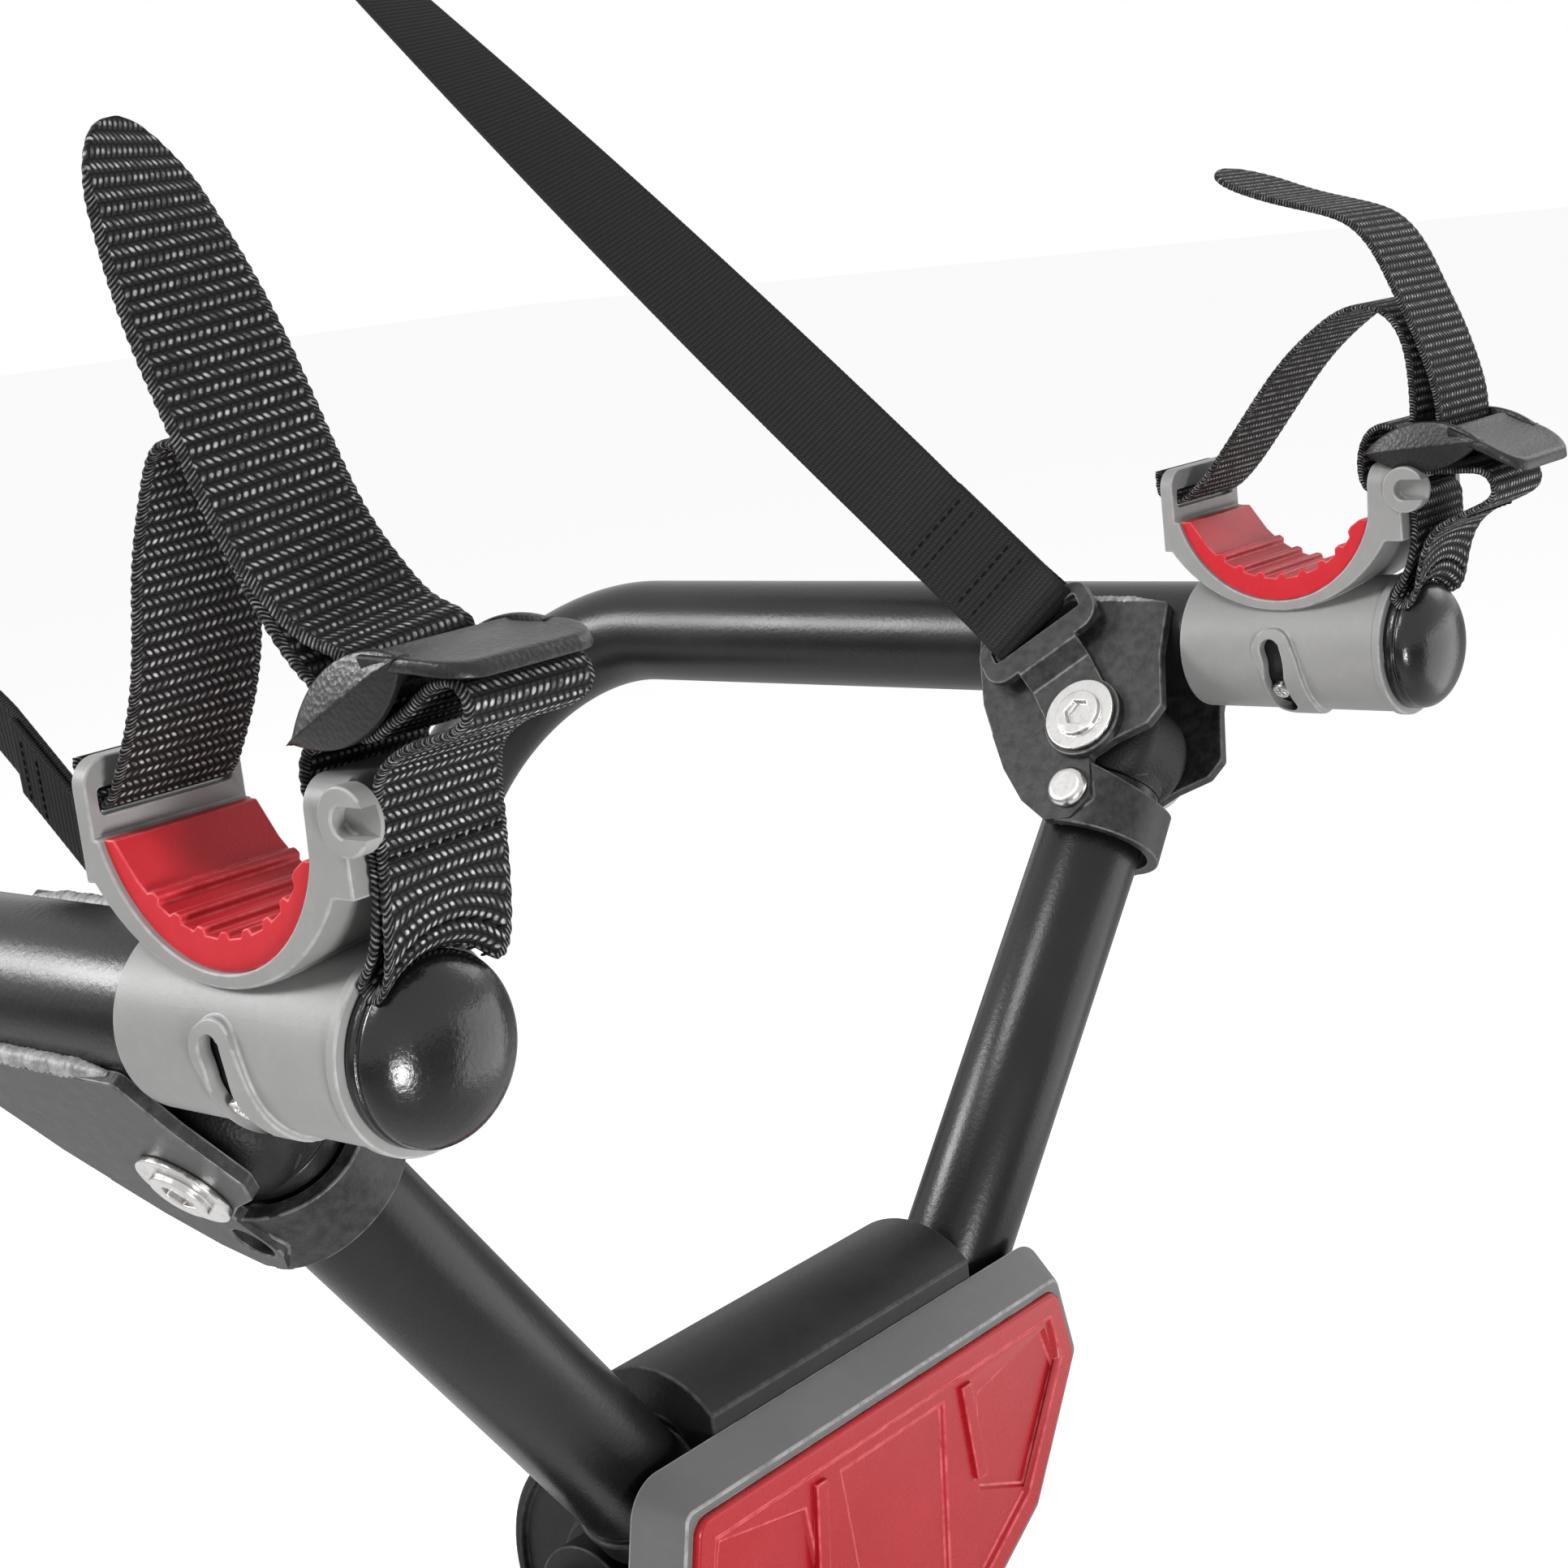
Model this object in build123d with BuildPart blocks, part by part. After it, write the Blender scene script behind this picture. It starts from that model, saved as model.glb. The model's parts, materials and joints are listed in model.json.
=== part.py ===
"""Trunk mounted bike rack: hub and V arms, two folding carriers with turning cradles, lower legs and straps."""
import math
import os

from build123d import *

os.makedirs("parts", exist_ok=True)

# Main layout
CARRIER_HALF_GAP = 156.0
ARM_TILT = 52.6
ARM_LEAN = 2.4
ARM_R = 12.7
CARRIER_R = 14.3
TUBE_WALL = 1.6
OVERRUN = 60.0
RUN_FIT = 0.05
FREE_GAP = 0.35

# Forward rests on the carriers
BEND_START = 169.5
BEND_R = 60.0
BEND_ANGLE = 90.0
PAD_R = 20.0
PAD_FLAT = 19.0
PAD_NEAR = 66.0
PAD_LENGTH = 64.0
PAD_ROUND = 7.0
LEG_PAST_PAD = 8.0
REST_LEG = PAD_NEAR + PAD_LENGTH + LEG_PAST_PAD - BEND_R
KNUCKLE_RISE = 101.685

SIN_TILT = math.sin(math.radians(ARM_TILT))
COS_TILT = math.cos(math.radians(ARM_TILT))
SIN_LEAN = math.sin(math.radians(ARM_LEAN))
COS_LEAN = math.cos(math.radians(ARM_LEAN))
KNUCKLE_Y = -(BEND_START + BEND_R + PAD_FLAT)
KNUCKLE_Z = KNUCKLE_RISE

# Working planes of the right side: u forward, v down the arm, w inward and up
ORIGIN_R = (CARRIER_HALF_GAP, KNUCKLE_Y, KNUCKLE_Z)
ORIGIN_L = (-CARRIER_HALF_GAP, KNUCKLE_Y, KNUCKLE_Z)
INWARD = (-SIN_TILT, 0, COS_TILT)
DOWN_ARM = (-COS_TILT, 0, -SIN_TILT)
ARM_AXIS = (-COS_TILT * COS_LEAN, SIN_LEAN, -SIN_TILT * COS_LEAN)
knuckle = Plane(origin=ORIGIN_R, x_dir=(0, 1, 0), z_dir=INWARD)
arm_plane = Plane(origin=ORIGIN_R, x_dir=INWARD, z_dir=ARM_AXIS)
back_right = Plane(origin=ORIGIN_R, x_dir=(1, 0, 0), z_dir=(0, -1, 0))
side_right = Plane(origin=ORIGIN_R, x_dir=(0, -1, 0), z_dir=(-1, 0, 0))
side_left = Plane(origin=ORIGIN_L, x_dir=(0, -1, 0), z_dir=(-1, 0, 0))
LEFT_SHIFT = (-2 * CARRIER_HALF_GAP, 0, 0)

# Knuckle
PIVOT_U = 1.3
PIVOT_V = 30.5
LOCK_U = 0.5
LOCK_V = 48.5
PLATE_GAP = CARRIER_R
PLATE_T = 2.8
PLATE_OUT = PLATE_GAP + PLATE_T
PLATE_TOP = 2.0
BOLT_R = 4.0
BOLT_HOLE_R = BOLT_R + RUN_FIT
LOCK_HOLE_R = 4.2
PIN_R = 3.0
PIN_HOLE_R = PIN_R + RUN_FIT
pivot = Plane(origin=knuckle.from_local_coords((PIVOT_U, PIVOT_V, 0)), x_dir=(0, 1, 0), z_dir=INWARD)
lock = Plane(origin=knuckle.from_local_coords((LOCK_U, LOCK_V, 0)), x_dir=(0, 1, 0), z_dir=INWARD)

# Arms
ARM_TOP = 40.0
ARM_END = 170.0
ARM_PLUG_R = 14.1
ARM_PLUG_HALF = ARM_R - 0.3
ARM_PLUG_ROUND = 6.0
ARM_PLUG_DEPTH = 16.0
BUSH_R = 7.5
BUSH_FACE = PLATE_GAP - RUN_FIT

with BuildPart() as arm_right:
    with BuildSketch(arm_plane.offset(ARM_TOP)):
        Circle(ARM_R)
        Circle(ARM_R - TUBE_WALL, mode=Mode.SUBTRACT)
    extrude(amount=ARM_END - ARM_TOP)
    # Lock hole through both walls
    with BuildSketch(lock):
        Circle(PIN_R + FREE_GAP)
    extrude(amount=OVERRUN, both=True, mode=Mode.SUBTRACT)

with BuildPart() as arm_plug_right:
    with BuildSketch(pivot.offset(-ARM_PLUG_HALF)):
        Circle(ARM_PLUG_R)
    extrude(amount=2 * ARM_PLUG_HALF)
    fillet(arm_plug_right.edges().filter_by(GeomType.CIRCLE), radius=ARM_PLUG_ROUND)
    # Neck cut square at the tube's end, then the spigot inside the tube
    with BuildSketch(arm_plane.offset(PIVOT_V)):
        Circle(ARM_R)
    extrude(amount=ARM_TOP - PIVOT_V)
    with BuildSketch(arm_plane.offset(ARM_TOP)):
        Circle(2 * ARM_R)
    extrude(amount=OVERRUN, mode=Mode.SUBTRACT)
    with BuildSketch(arm_plane.offset(PIVOT_V)):
        Circle(ARM_R - TUBE_WALL)
    extrude(amount=ARM_TOP - PIVOT_V + ARM_PLUG_DEPTH)
    # Bearing faces and bore for the pivot bolt
    with BuildSketch(pivot.offset(-BUSH_FACE)):
        Circle(BUSH_R)
    extrude(amount=2 * BUSH_FACE)
    with BuildSketch(pivot):
        Circle(BOLT_HOLE_R)
    extrude(amount=OVERRUN, both=True, mode=Mode.SUBTRACT)
    with BuildSketch(lock):
        Circle(PIN_R + FREE_GAP)
    extrude(amount=OVERRUN, both=True, mode=Mode.SUBTRACT)

# Hub: a round crossbar over a block, with a round drum at each end. Seen from behind: x across, y up
HUB_FORWARD = 7.5
HUB_DROP = 160.0
BAR_R = 22.5
BAR_HALF = 44.0
BAR_UP = 24.0
BLOCK_FRONT = 26.0
BLOCK_BACK = 16.5
BLOCK_OUTLINE = [(-44, 22), (44, 22), (44, -8), (28, -25), (-28, -25), (-44, -8)]
TRIM_GROW = 8.5
TRIM_DEPTH = 9.5
TRIM_TAPER = 34.0
TRIM_CORNER_R = 9.0
BACKING_GROW = 4.0
BACKING_T = 2.4
COVER_PROUD = 1.4
COVER_SEAT = 4.0
COVER_CORNER_R = 4.0
COVER_EDGE_R = 1.0
COVER_FACE = BLOCK_BACK + TRIM_DEPTH + COVER_PROUD
COVER_OUTLINE = [(-62, 27), (62, 27), (66, 10), (47, -19), (26, -32), (-26, -32), (-47, -19), (-66, 10)]
FIELD_INSET = 5.0
FIELD_DEPTH = 1.2
FACET_DEPTH = 0.9
FACET_TAPER = 40.0
FACET_SIDE = [(56, 20), (60, 9), (44, -14), (27, -7), (30, 15)]
FACET_MID = [(-18, 18), (18, 18), (14, -22), (-14, -22)]
GLINT_RIB = [(-27, 19), (-23.5, 19), (-26, -4), (-29.5, -4)]
SOCKET_GAP = 1.2
SOCKET_R = ARM_R + 1.0
SPIGOT_R = ARM_R - TUBE_WALL
SPIGOT_DEPTH = 8.0
SPIGOT_IN_ARM = 22.0
hub = Plane(origin=(0, KNUCKLE_Y + HUB_FORWARD, KNUCKLE_Z - HUB_DROP), x_dir=(1, 0, 0), z_dir=(0, -1, 0))
hub_side = Plane(origin=hub.origin, x_dir=(0, 1, 0), z_dir=(1, 0, 0))

# Lower hinge through both drums
LOWER_FORWARD = 11.0
LOWER_DROP = 3.0
AXLE_R = 7.0
DRUM_R = 31.0
DRUM_HALF = 50.0
DRUM_T = 12.0
DRUM_RIM = 2.6
DRUM_DISH = 1.4
DRUM_ROUND = 1.2
LUG_SEAT_R = 16.0
BOSS_R = 17.0
lower_axis = Plane(origin=hub_side.from_local_coords((LOWER_FORWARD, -LOWER_DROP, 0)), x_dir=(0, 1, 0),
                   z_dir=(1, 0, 0))

HUB_BOLT_R = 3.0
HUB_BOLT_LENGTH = 14.0
HUB_BOLT_HEAD_R = 5.6
HUB_BOLT_HEAD = 4.0
HUB_BOLT_X = 20.0
HUB_BOLT_Y = 13.0
HEX_ACROSS = 2.6
HEX_DEPTH = 2.2
bolt_face = hub.offset(-BLOCK_FRONT)

with BuildPart() as hub_housing:
    # Drums that flank the block
    with BuildSketch(lower_axis.offset(-DRUM_HALF), lower_axis.offset(DRUM_HALF - DRUM_T)):
        Circle(DRUM_R)
    extrude(amount=DRUM_T)
    fillet(hub_housing.edges().filter_by(GeomType.CIRCLE), radius=DRUM_ROUND)
    for face, way in ((lower_axis.offset(DRUM_HALF), -1), (lower_axis.offset(-DRUM_HALF), 1)):
        with BuildSketch(face):
            Circle(DRUM_R - DRUM_RIM)
            Circle(LUG_SEAT_R, mode=Mode.SUBTRACT)
        extrude(amount=DRUM_DISH * way, mode=Mode.SUBTRACT)
    # Round crossbar between the arms
    with BuildSketch(hub_side.offset(-BAR_HALF)):
        with Locations((0, BAR_UP)):
            Circle(BAR_R)
    extrude(amount=2 * BAR_HALF)
    # Block behind the cover, and the boss round the axle
    with BuildSketch(hub.offset(-BLOCK_FRONT)):
        with BuildLine():
            Polyline(*BLOCK_OUTLINE, close=True)
        make_face()
    extrude(amount=BLOCK_FRONT + BLOCK_BACK)
    with BuildSketch(lower_axis.offset(-BAR_HALF)):
        Circle(BOSS_R)
    extrude(amount=2 * BAR_HALF)
    # Backing plate of the trim
    with BuildSketch(hub.offset(BLOCK_BACK - BACKING_T)):
        with BuildLine():
            Polyline(*COVER_OUTLINE, close=True)
        make_face()
        offset(amount=BACKING_GROW, kind=Kind.INTERSECTION)
    extrude(amount=BACKING_T)
    # Stubs that meet the ends of the arms squarely
    for side in (1, -1):
        axis = (ARM_AXIS[0] * side, ARM_AXIS[1], ARM_AXIS[2])
        stub = Plane(origin=(ORIGIN_R[0] * side, KNUCKLE_Y, KNUCKLE_Z), z_dir=axis)
        with BuildSketch(stub.offset(ARM_END + SOCKET_GAP)):
            Circle(SOCKET_R)
        extrude(amount=SPIGOT_DEPTH)
    # Nothing stands back past the seat of the trim
    with BuildSketch(hub.offset(BLOCK_BACK)):
        Rectangle(2 * CARRIER_HALF_GAP, 2 * CARRIER_HALF_GAP)
    extrude(amount=OVERRUN, mode=Mode.SUBTRACT)
    with BuildSketch(lower_axis):
        Circle(AXLE_R + RUN_FIT)
    extrude(amount=OVERRUN, both=True, mode=Mode.SUBTRACT)
    with BuildSketch(bolt_face):
        with Locations((HUB_BOLT_X, HUB_BOLT_Y), (-HUB_BOLT_X, HUB_BOLT_Y)):
            Circle(HUB_BOLT_R)
    extrude(amount=HUB_BOLT_LENGTH, mode=Mode.SUBTRACT)
    # Sockets for the arm spigots
    for side in (1, -1):
        axis = (ARM_AXIS[0] * side, ARM_AXIS[1], ARM_AXIS[2])
        stub = Plane(origin=(ORIGIN_R[0] * side, KNUCKLE_Y, KNUCKLE_Z), z_dir=axis)
        with BuildSketch(stub.offset(ARM_TOP)):
            Circle(SOCKET_R)
        extrude(amount=ARM_END + SOCKET_GAP - ARM_TOP, mode=Mode.SUBTRACT)
        with BuildSketch(stub.offset(ARM_END)):
            Circle(SPIGOT_R)
        extrude(amount=SPIGOT_DEPTH, mode=Mode.SUBTRACT)

with BuildPart() as arm_spigot_right:
    with BuildSketch(arm_plane.offset(ARM_END - SPIGOT_IN_ARM)):
        Circle(SPIGOT_R)
    extrude(amount=SPIGOT_IN_ARM + SPIGOT_DEPTH)
    with BuildSketch(arm_plane.offset(ARM_END)):
        Circle(ARM_R)
        Circle(SPIGOT_R, mode=Mode.SUBTRACT)
    extrude(amount=SOCKET_GAP)

with BuildPart() as hub_trim:
    with BuildSketch(hub.offset(BLOCK_BACK)):
        with BuildLine():
            Polyline(*COVER_OUTLINE, close=True)
        make_face()
        offset(amount=TRIM_GROW, kind=Kind.INTERSECTION)
        fillet(vertices(), radius=TRIM_CORNER_R)
    extrude(amount=TRIM_DEPTH, taper=TRIM_TAPER)
    with BuildSketch(hub.offset(BLOCK_BACK + TRIM_DEPTH - COVER_SEAT)):
        with BuildLine():
            Polyline(*COVER_OUTLINE, close=True)
        make_face()
        fillet(vertices(), radius=COVER_CORNER_R)
    extrude(amount=OVERRUN, mode=Mode.SUBTRACT)

with BuildPart() as hub_cover:
    with BuildSketch(hub.offset(BLOCK_BACK + TRIM_DEPTH - COVER_SEAT)):
        with BuildLine():
            Polyline(*COVER_OUTLINE, close=True)
        make_face()
        fillet(vertices(), radius=COVER_CORNER_R)
    extrude(amount=COVER_SEAT + COVER_PROUD)
    fillet(hub_cover.edges().group_by(Axis.Y)[0], radius=COVER_EDGE_R)
    # Sunken field with shallow facets
    with BuildSketch(hub.offset(COVER_FACE)):
        with BuildLine():
            Polyline(*COVER_OUTLINE, close=True)
        make_face()
        offset(amount=-FIELD_INSET, kind=Kind.INTERSECTION)
    extrude(amount=-FIELD_DEPTH, taper=FACET_TAPER, mode=Mode.SUBTRACT)
    with BuildSketch(hub.offset(COVER_FACE - FIELD_DEPTH)):
        for flip in (1, -1):
            with BuildLine():
                Polyline(*[(x * flip, y) for x, y in FACET_SIDE], close=True)
            make_face()
        with BuildLine():
            Polyline(*FACET_MID, close=True)
        make_face()
    extrude(amount=-FACET_DEPTH, taper=FACET_TAPER, mode=Mode.SUBTRACT)
    with BuildSketch(hub.offset(COVER_FACE - FIELD_DEPTH)):
        for flip in (1, -1):
            with BuildLine():
                Polyline(*[(x * flip, y) for x, y in GLINT_RIB], close=True)
            make_face()
    extrude(amount=FIELD_DEPTH)

# Bolts that close the hub from its forward face
with BuildPart() as hub_bolts:
    with BuildSketch(bolt_face):
        with Locations((HUB_BOLT_X, HUB_BOLT_Y), (-HUB_BOLT_X, HUB_BOLT_Y)):
            Circle(HUB_BOLT_HEAD_R)
    extrude(amount=-HUB_BOLT_HEAD)
    with BuildSketch(bolt_face):
        with Locations((HUB_BOLT_X, HUB_BOLT_Y), (-HUB_BOLT_X, HUB_BOLT_Y)):
            Circle(HUB_BOLT_R)
    extrude(amount=HUB_BOLT_LENGTH)
    with BuildSketch(bolt_face.offset(-HUB_BOLT_HEAD)):
        with Locations((HUB_BOLT_X, HUB_BOLT_Y), (-HUB_BOLT_X, HUB_BOLT_Y)):
            RegularPolygon(HEX_ACROSS, 6)
    extrude(amount=HEX_DEPTH, mode=Mode.SUBTRACT)

# Carrier tubes: straight back, then bent to run down beside the arm
CAP_FRONT = 70.0
SCREW_BACK = 41.6
SCREW_ANGLE = 36.0
SCREW_R = 1.5
tube_start = back_right.offset(CAP_FRONT)

with BuildPart() as bent_tube:
    with BuildLine(knuckle):
        straight = Line((-CAP_FRONT, 0), (BEND_START, 0))
        bend = JernArc(straight @ 1, straight % 1, BEND_R, BEND_ANGLE)
        Line(bend @ 1, bend @ 1 + Vector(bend % 1) * REST_LEG)
    with BuildSketch(tube_start):
        Circle(CARRIER_R)
        Circle(CARRIER_R - TUBE_WALL, mode=Mode.SUBTRACT)
    sweep()

# Tapped hole for the stop screw of the cradle, on the left face of both tubes
screw_way = (-math.cos(math.radians(SCREW_ANGLE)), 0, -math.sin(math.radians(SCREW_ANGLE)))
screw = Plane(origin=back_right.from_local_coords((0, 0, SCREW_BACK)), z_dir=screw_way)
screw_left = Plane(origin=screw.origin + Vector(*LEFT_SHIFT), z_dir=screw_way)
with BuildPart() as carrier_right:
    add(bent_tube.part)
    with BuildSketch(screw):
        Circle(SCREW_R)
    extrude(amount=OVERRUN, mode=Mode.SUBTRACT)
with BuildPart() as carrier_left:
    mirror(bent_tube.part, about=Plane.YZ)
    with BuildSketch(screw_left):
        Circle(SCREW_R)
    extrude(amount=OVERRUN, mode=Mode.SUBTRACT)

SCREW_HEAD_R = 2.1
SCREW_HEAD_TOP = 16.3
SCREW_TIP = 12.0
DRIVE_W = 0.7
DRIVE_L = 2.6
DRIVE_DEPTH = 0.8
with BuildPart() as stop_screw_right:
    with BuildSketch(screw.offset(SCREW_TIP)):
        Circle(SCREW_R)
    extrude(amount=CARRIER_R - SCREW_TIP)
    with BuildSketch(screw.offset(CARRIER_R)):
        Circle(SCREW_HEAD_R)
    extrude(amount=SCREW_HEAD_TOP - CARRIER_R)
    with BuildSketch(screw.offset(SCREW_HEAD_TOP)):
        Rectangle(DRIVE_W, DRIVE_L)
        Rectangle(DRIVE_L, DRIVE_W)
    extrude(amount=-DRIVE_DEPTH, mode=Mode.SUBTRACT)

# Bracket: two plates beside the arm and a collar round its back
PLATE_OUTLINE = [(-12, -PLATE_TOP), (-14, 12), (-18.5, 25.5), (-16, 30.5), (-8, 35), (-2.5, 39.5), (-6, 50),
                 (-2, 56), (5, 57), (13, 52.5), (21, 44.5), (27.5, 35.5), (33, 27.5), (38.5, 15),
                 (43, -PLATE_TOP)]
PLATE_CORNER_R = 1.6
COLLAR_U = 2.0
COLLAR_OUTLINE = [(COLLAR_U, 39.5), (-18, 45.5), (-18, 56.5), (COLLAR_U, 57.0)]
COLLAR_START = 36.0
COLLAR_LENGTH = 24.0
collar_plane = Plane(origin=knuckle.from_local_coords((COLLAR_U, COLLAR_START, 0)), x_dir=(0, 1, 0),
                     z_dir=DOWN_ARM)

with BuildPart() as collar:
    with BuildSketch(collar_plane):
        Circle(PLATE_OUT)
        Circle(PLATE_GAP, mode=Mode.SUBTRACT)
        with Locations((OVERRUN / 2, 0)):
            Rectangle(OVERRUN, OVERRUN, mode=Mode.SUBTRACT)
    extrude(amount=COLLAR_LENGTH)
    with BuildSketch(knuckle):
        with BuildLine():
            Polyline(*COLLAR_OUTLINE, close=True)
        make_face()
    extrude(amount=OVERRUN, both=True, mode=Mode.INTERSECT)

with BuildPart() as bracket_right:
    with BuildSketch(knuckle.offset(PLATE_GAP), knuckle.offset(-PLATE_OUT)):
        with BuildLine():
            Polyline(*PLATE_OUTLINE, close=True)
        make_face()
        fillet(vertices(), radius=PLATE_CORNER_R)
    extrude(amount=PLATE_T)
    add(collar.part)
    with BuildSketch(pivot):
        Circle(BOLT_HOLE_R)
    extrude(amount=OVERRUN, both=True, mode=Mode.SUBTRACT)
    with BuildSketch(lock):
        Circle(PIN_HOLE_R)
    extrude(amount=OVERRUN, mode=Mode.SUBTRACT)
    with BuildSketch(lock):
        Circle(LOCK_HOLE_R)
    extrude(amount=-OVERRUN, mode=Mode.SUBTRACT)

# Weld beads along the top edges of both plates
WELD_R = 1.9
WELD_OUT = 15.3
WELD_FROM = -9.0
WELD_TO = 40.0
weld_plane = Plane(origin=knuckle.from_local_coords((WELD_FROM, 0, 0)), x_dir=INWARD, z_dir=(0, 1, 0))
with BuildPart() as weld_right:
    with BuildSketch(weld_plane):
        with Locations((WELD_OUT, PLATE_TOP), (-WELD_OUT, PLATE_TOP)):
            Circle(WELD_R)
        with Locations((0, PLATE_TOP - OVERRUN / 2)):
            Rectangle(2 * OVERRUN, OVERRUN, mode=Mode.SUBTRACT)
        Circle(CARRIER_R, mode=Mode.SUBTRACT)
    extrude(amount=WELD_TO - WELD_FROM)

# Pivot bolt with a flanged head on each end
FLANGE_R = 9.2
FLANGE_T = 1.3
HEAD_R = 5.8
HEAD_T = 1.2
HEAD_ROUND = 0.7
SOCKET_HEX_R = 3.4
SOCKET_DEPTH = 1.6
STRAP_PLATE_T = 2.2
STRAP_PLATE_LOW = PLATE_OUT + RUN_FIT
STRAP_PLATE_TOP = STRAP_PLATE_LOW + STRAP_PLATE_T
INNER_SEAT = STRAP_PLATE_TOP + RUN_FIT
with BuildPart() as pivot_bolt_right:
    with BuildSketch(pivot.offset(-PLATE_OUT)):
        Circle(BOLT_R)
    extrude(amount=PLATE_OUT + INNER_SEAT)
    for seat, way in ((pivot.offset(INNER_SEAT), 1), (pivot.offset(-PLATE_OUT), -1)):
        with BuildSketch(seat):
            Circle(FLANGE_R)
        extrude(amount=FLANGE_T * way)
        with BuildSketch(seat.offset(FLANGE_T * way)):
            Circle(HEAD_R)
        extrude(amount=HEAD_T * way)
        with BuildSketch(seat.offset((FLANGE_T + HEAD_T) * way)):
            RegularPolygon(SOCKET_HEX_R, 6)
        extrude(amount=-SOCKET_DEPTH * way, mode=Mode.SUBTRACT)

# Lock pin: pulled inward, it frees the carrier to fold
PIN_DOME_R = 5.2
PIN_DOME_T = 2.4
PIN_DOME_ROUND = 1.9
PIN_TIP = ARM_R + 0.4
with BuildPart() as lock_pin_right:
    with BuildSketch(lock.offset(PLATE_OUT)):
        Circle(PIN_DOME_R)
    extrude(amount=PIN_DOME_T)
    fillet(lock_pin_right.edges().filter_by(GeomType.CIRCLE).sort_by_distance(lock.origin)[-1],
           radius=PIN_DOME_ROUND)
    with BuildSketch(lock.offset(PIN_TIP)):
        Circle(PIN_R)
    extrude(amount=PLATE_OUT - PIN_TIP)

# Domed end cap of the carrier tube
CAP_R = 15.0
CAP_RING = 2.0
CAP_STEP = 0.9
CAP_GROOVE = 0.5
CAP_DOME = 7.5
CAP_SPIGOT = 14.0
CAP_SPIGOT_R = CARRIER_R - TUBE_WALL
CAP_SPIGOT_BORE = 10.5
cap_section = Plane(origin=back_right.from_local_coords((0, 0, CAP_FRONT)), x_dir=(0, -1, 0), z_dir=(1, 0, 0))
with BuildPart() as end_cap_right:
    with BuildSketch(cap_section) as cap_profile:
        with BuildLine():
            ring = Polyline((0, 0), (0, CAP_R), (CAP_RING, CAP_R), (CAP_RING, CAP_R - CAP_GROOVE),
                            (CAP_RING + CAP_GROOVE, CAP_R - CAP_GROOVE))
            dome = EllipticalCenterArc((CAP_RING + CAP_GROOVE, 0), CAP_DOME, CAP_R - CAP_GROOVE, 0,
                                       arc_size=90)
            Line((0, 0), dome @ 0)
        make_face()
    revolve(axis=Axis(cap_section.origin, (0, -1, 0)))
    with BuildSketch(back_right.offset(CAP_FRONT)):
        Circle(CAP_SPIGOT_R)
        Circle(CAP_SPIGOT_BORE, mode=Mode.SUBTRACT)
    extrude(amount=-CAP_SPIGOT)

# Foam rest pad round the forward leg, with its pressed flat toward the car
leg_top = Plane(origin=knuckle.from_local_coords((BEND_START + BEND_R, 0, 0)), x_dir=(0, 1, 0), z_dir=DOWN_ARM)
with BuildPart() as rest_pad_right:
    with BuildSketch(leg_top.offset(PAD_NEAR)):
        Circle(PAD_R)
    extrude(amount=PAD_LENGTH)
    fillet(rest_pad_right.edges().filter_by(GeomType.CIRCLE), radius=PAD_ROUND / 2)
    with BuildSketch(leg_top):
        with Locations((PAD_FLAT + OVERRUN / 2, 0)):
            Rectangle(OVERRUN, OVERRUN)
    extrude(amount=PAD_NEAR + PAD_LENGTH + OVERRUN, mode=Mode.SUBTRACT)
    with BuildSketch(leg_top):
        Circle(CARRIER_R)
    extrude(amount=PAD_NEAR + PAD_LENGTH + OVERRUN, mode=Mode.SUBTRACT)

PLUG_T = 3.0
PLUG_DEPTH = 12.0
PLUG_ROUND = 1.2
with BuildPart() as rest_plug_right:
    with BuildSketch(leg_top.offset(BEND_R + REST_LEG)):
        Circle(CARRIER_R)
    extrude(amount=PLUG_T)
    fillet(rest_plug_right.edges().filter_by(GeomType.CIRCLE).sort_by(Axis.Z)[0], radius=PLUG_ROUND)
    with BuildSketch(leg_top.offset(BEND_R + REST_LEG)):
        Circle(CARRIER_R - TUBE_WALL)
    extrude(amount=-PLUG_DEPTH)

# Cradle: a barrel that turns on the carrier, with a trough across it. Sketches from the side: x back, y up
BARREL_R = 15.95
BARREL_BORE_R = CARRIER_R + 0.08
BARREL_FRONT = 16.4
BARREL_BACK = CAP_FRONT - FREE_GAP
FLANGE_RING_R = 16.6
FLANGE_RING = 1.8
FRONT_RING = 1.2
TROUGH_SHIFT = 1.2
SHELL_HALF = 15.0
INSERT_HALF = 14.0
TROUGH_BACK = 42.5
SHELL_ARC_R = 34.0
SHELL_LOW = 10.0
SHELL_ARC_UP = SHELL_ARC_R + SHELL_LOW
SEAT_ARC_R = 25.9
SEAT_ARC_UP = 38.2
STEP_ARC_UP = 42.4
STEP_R_OUT = 24.9
STEP_R_IN = 23.8
STEP_COUNT = 8
STEP_SPAN = 104.0
STEP_LEAN = 6.0
STEP_SHARES = (0, 0.5, 0.66, 0.92)
LINER_LIP = 2.6
EAR_TOP = 43.4
FRONT_EAR_OUT = 13.1
FRONT_EAR_IN = 16.5
EAR_FOOT = 24.0
INSERT_TOP = 31.0
REAR_EAR_IN = 68.0
REAR_EAR_OUT = 75.9
REAR_EAR_FOOT = 26.0
EAR_ROUND = 1.2
EAR_CORNER_R = 4.5
WEB_W = 24.5
WEB_T = 1.4
SLOT_W = WEB_W + 0.9
SLOT_H = 4.2
SLOT_CORNER_R = 0.8
SLOT_UP = 36.5
HOOK_BACK = 77.4
HOOK_UP = 37.8
HOOK_R = 5.2
HOOK_BORE_R = 2.3
HOOK_PROUD = 1.3
HOOK_ROOT = 2.0
GUIDE_W = 5.0
GUIDE_RIM_W = 10.6
GUIDE_RIM_R = 17.1
GUIDE_PATH = [(41.4, 1.2), (42.3, -2.0), (41.6, -5.6), (41.6, -12.6)]
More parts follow.
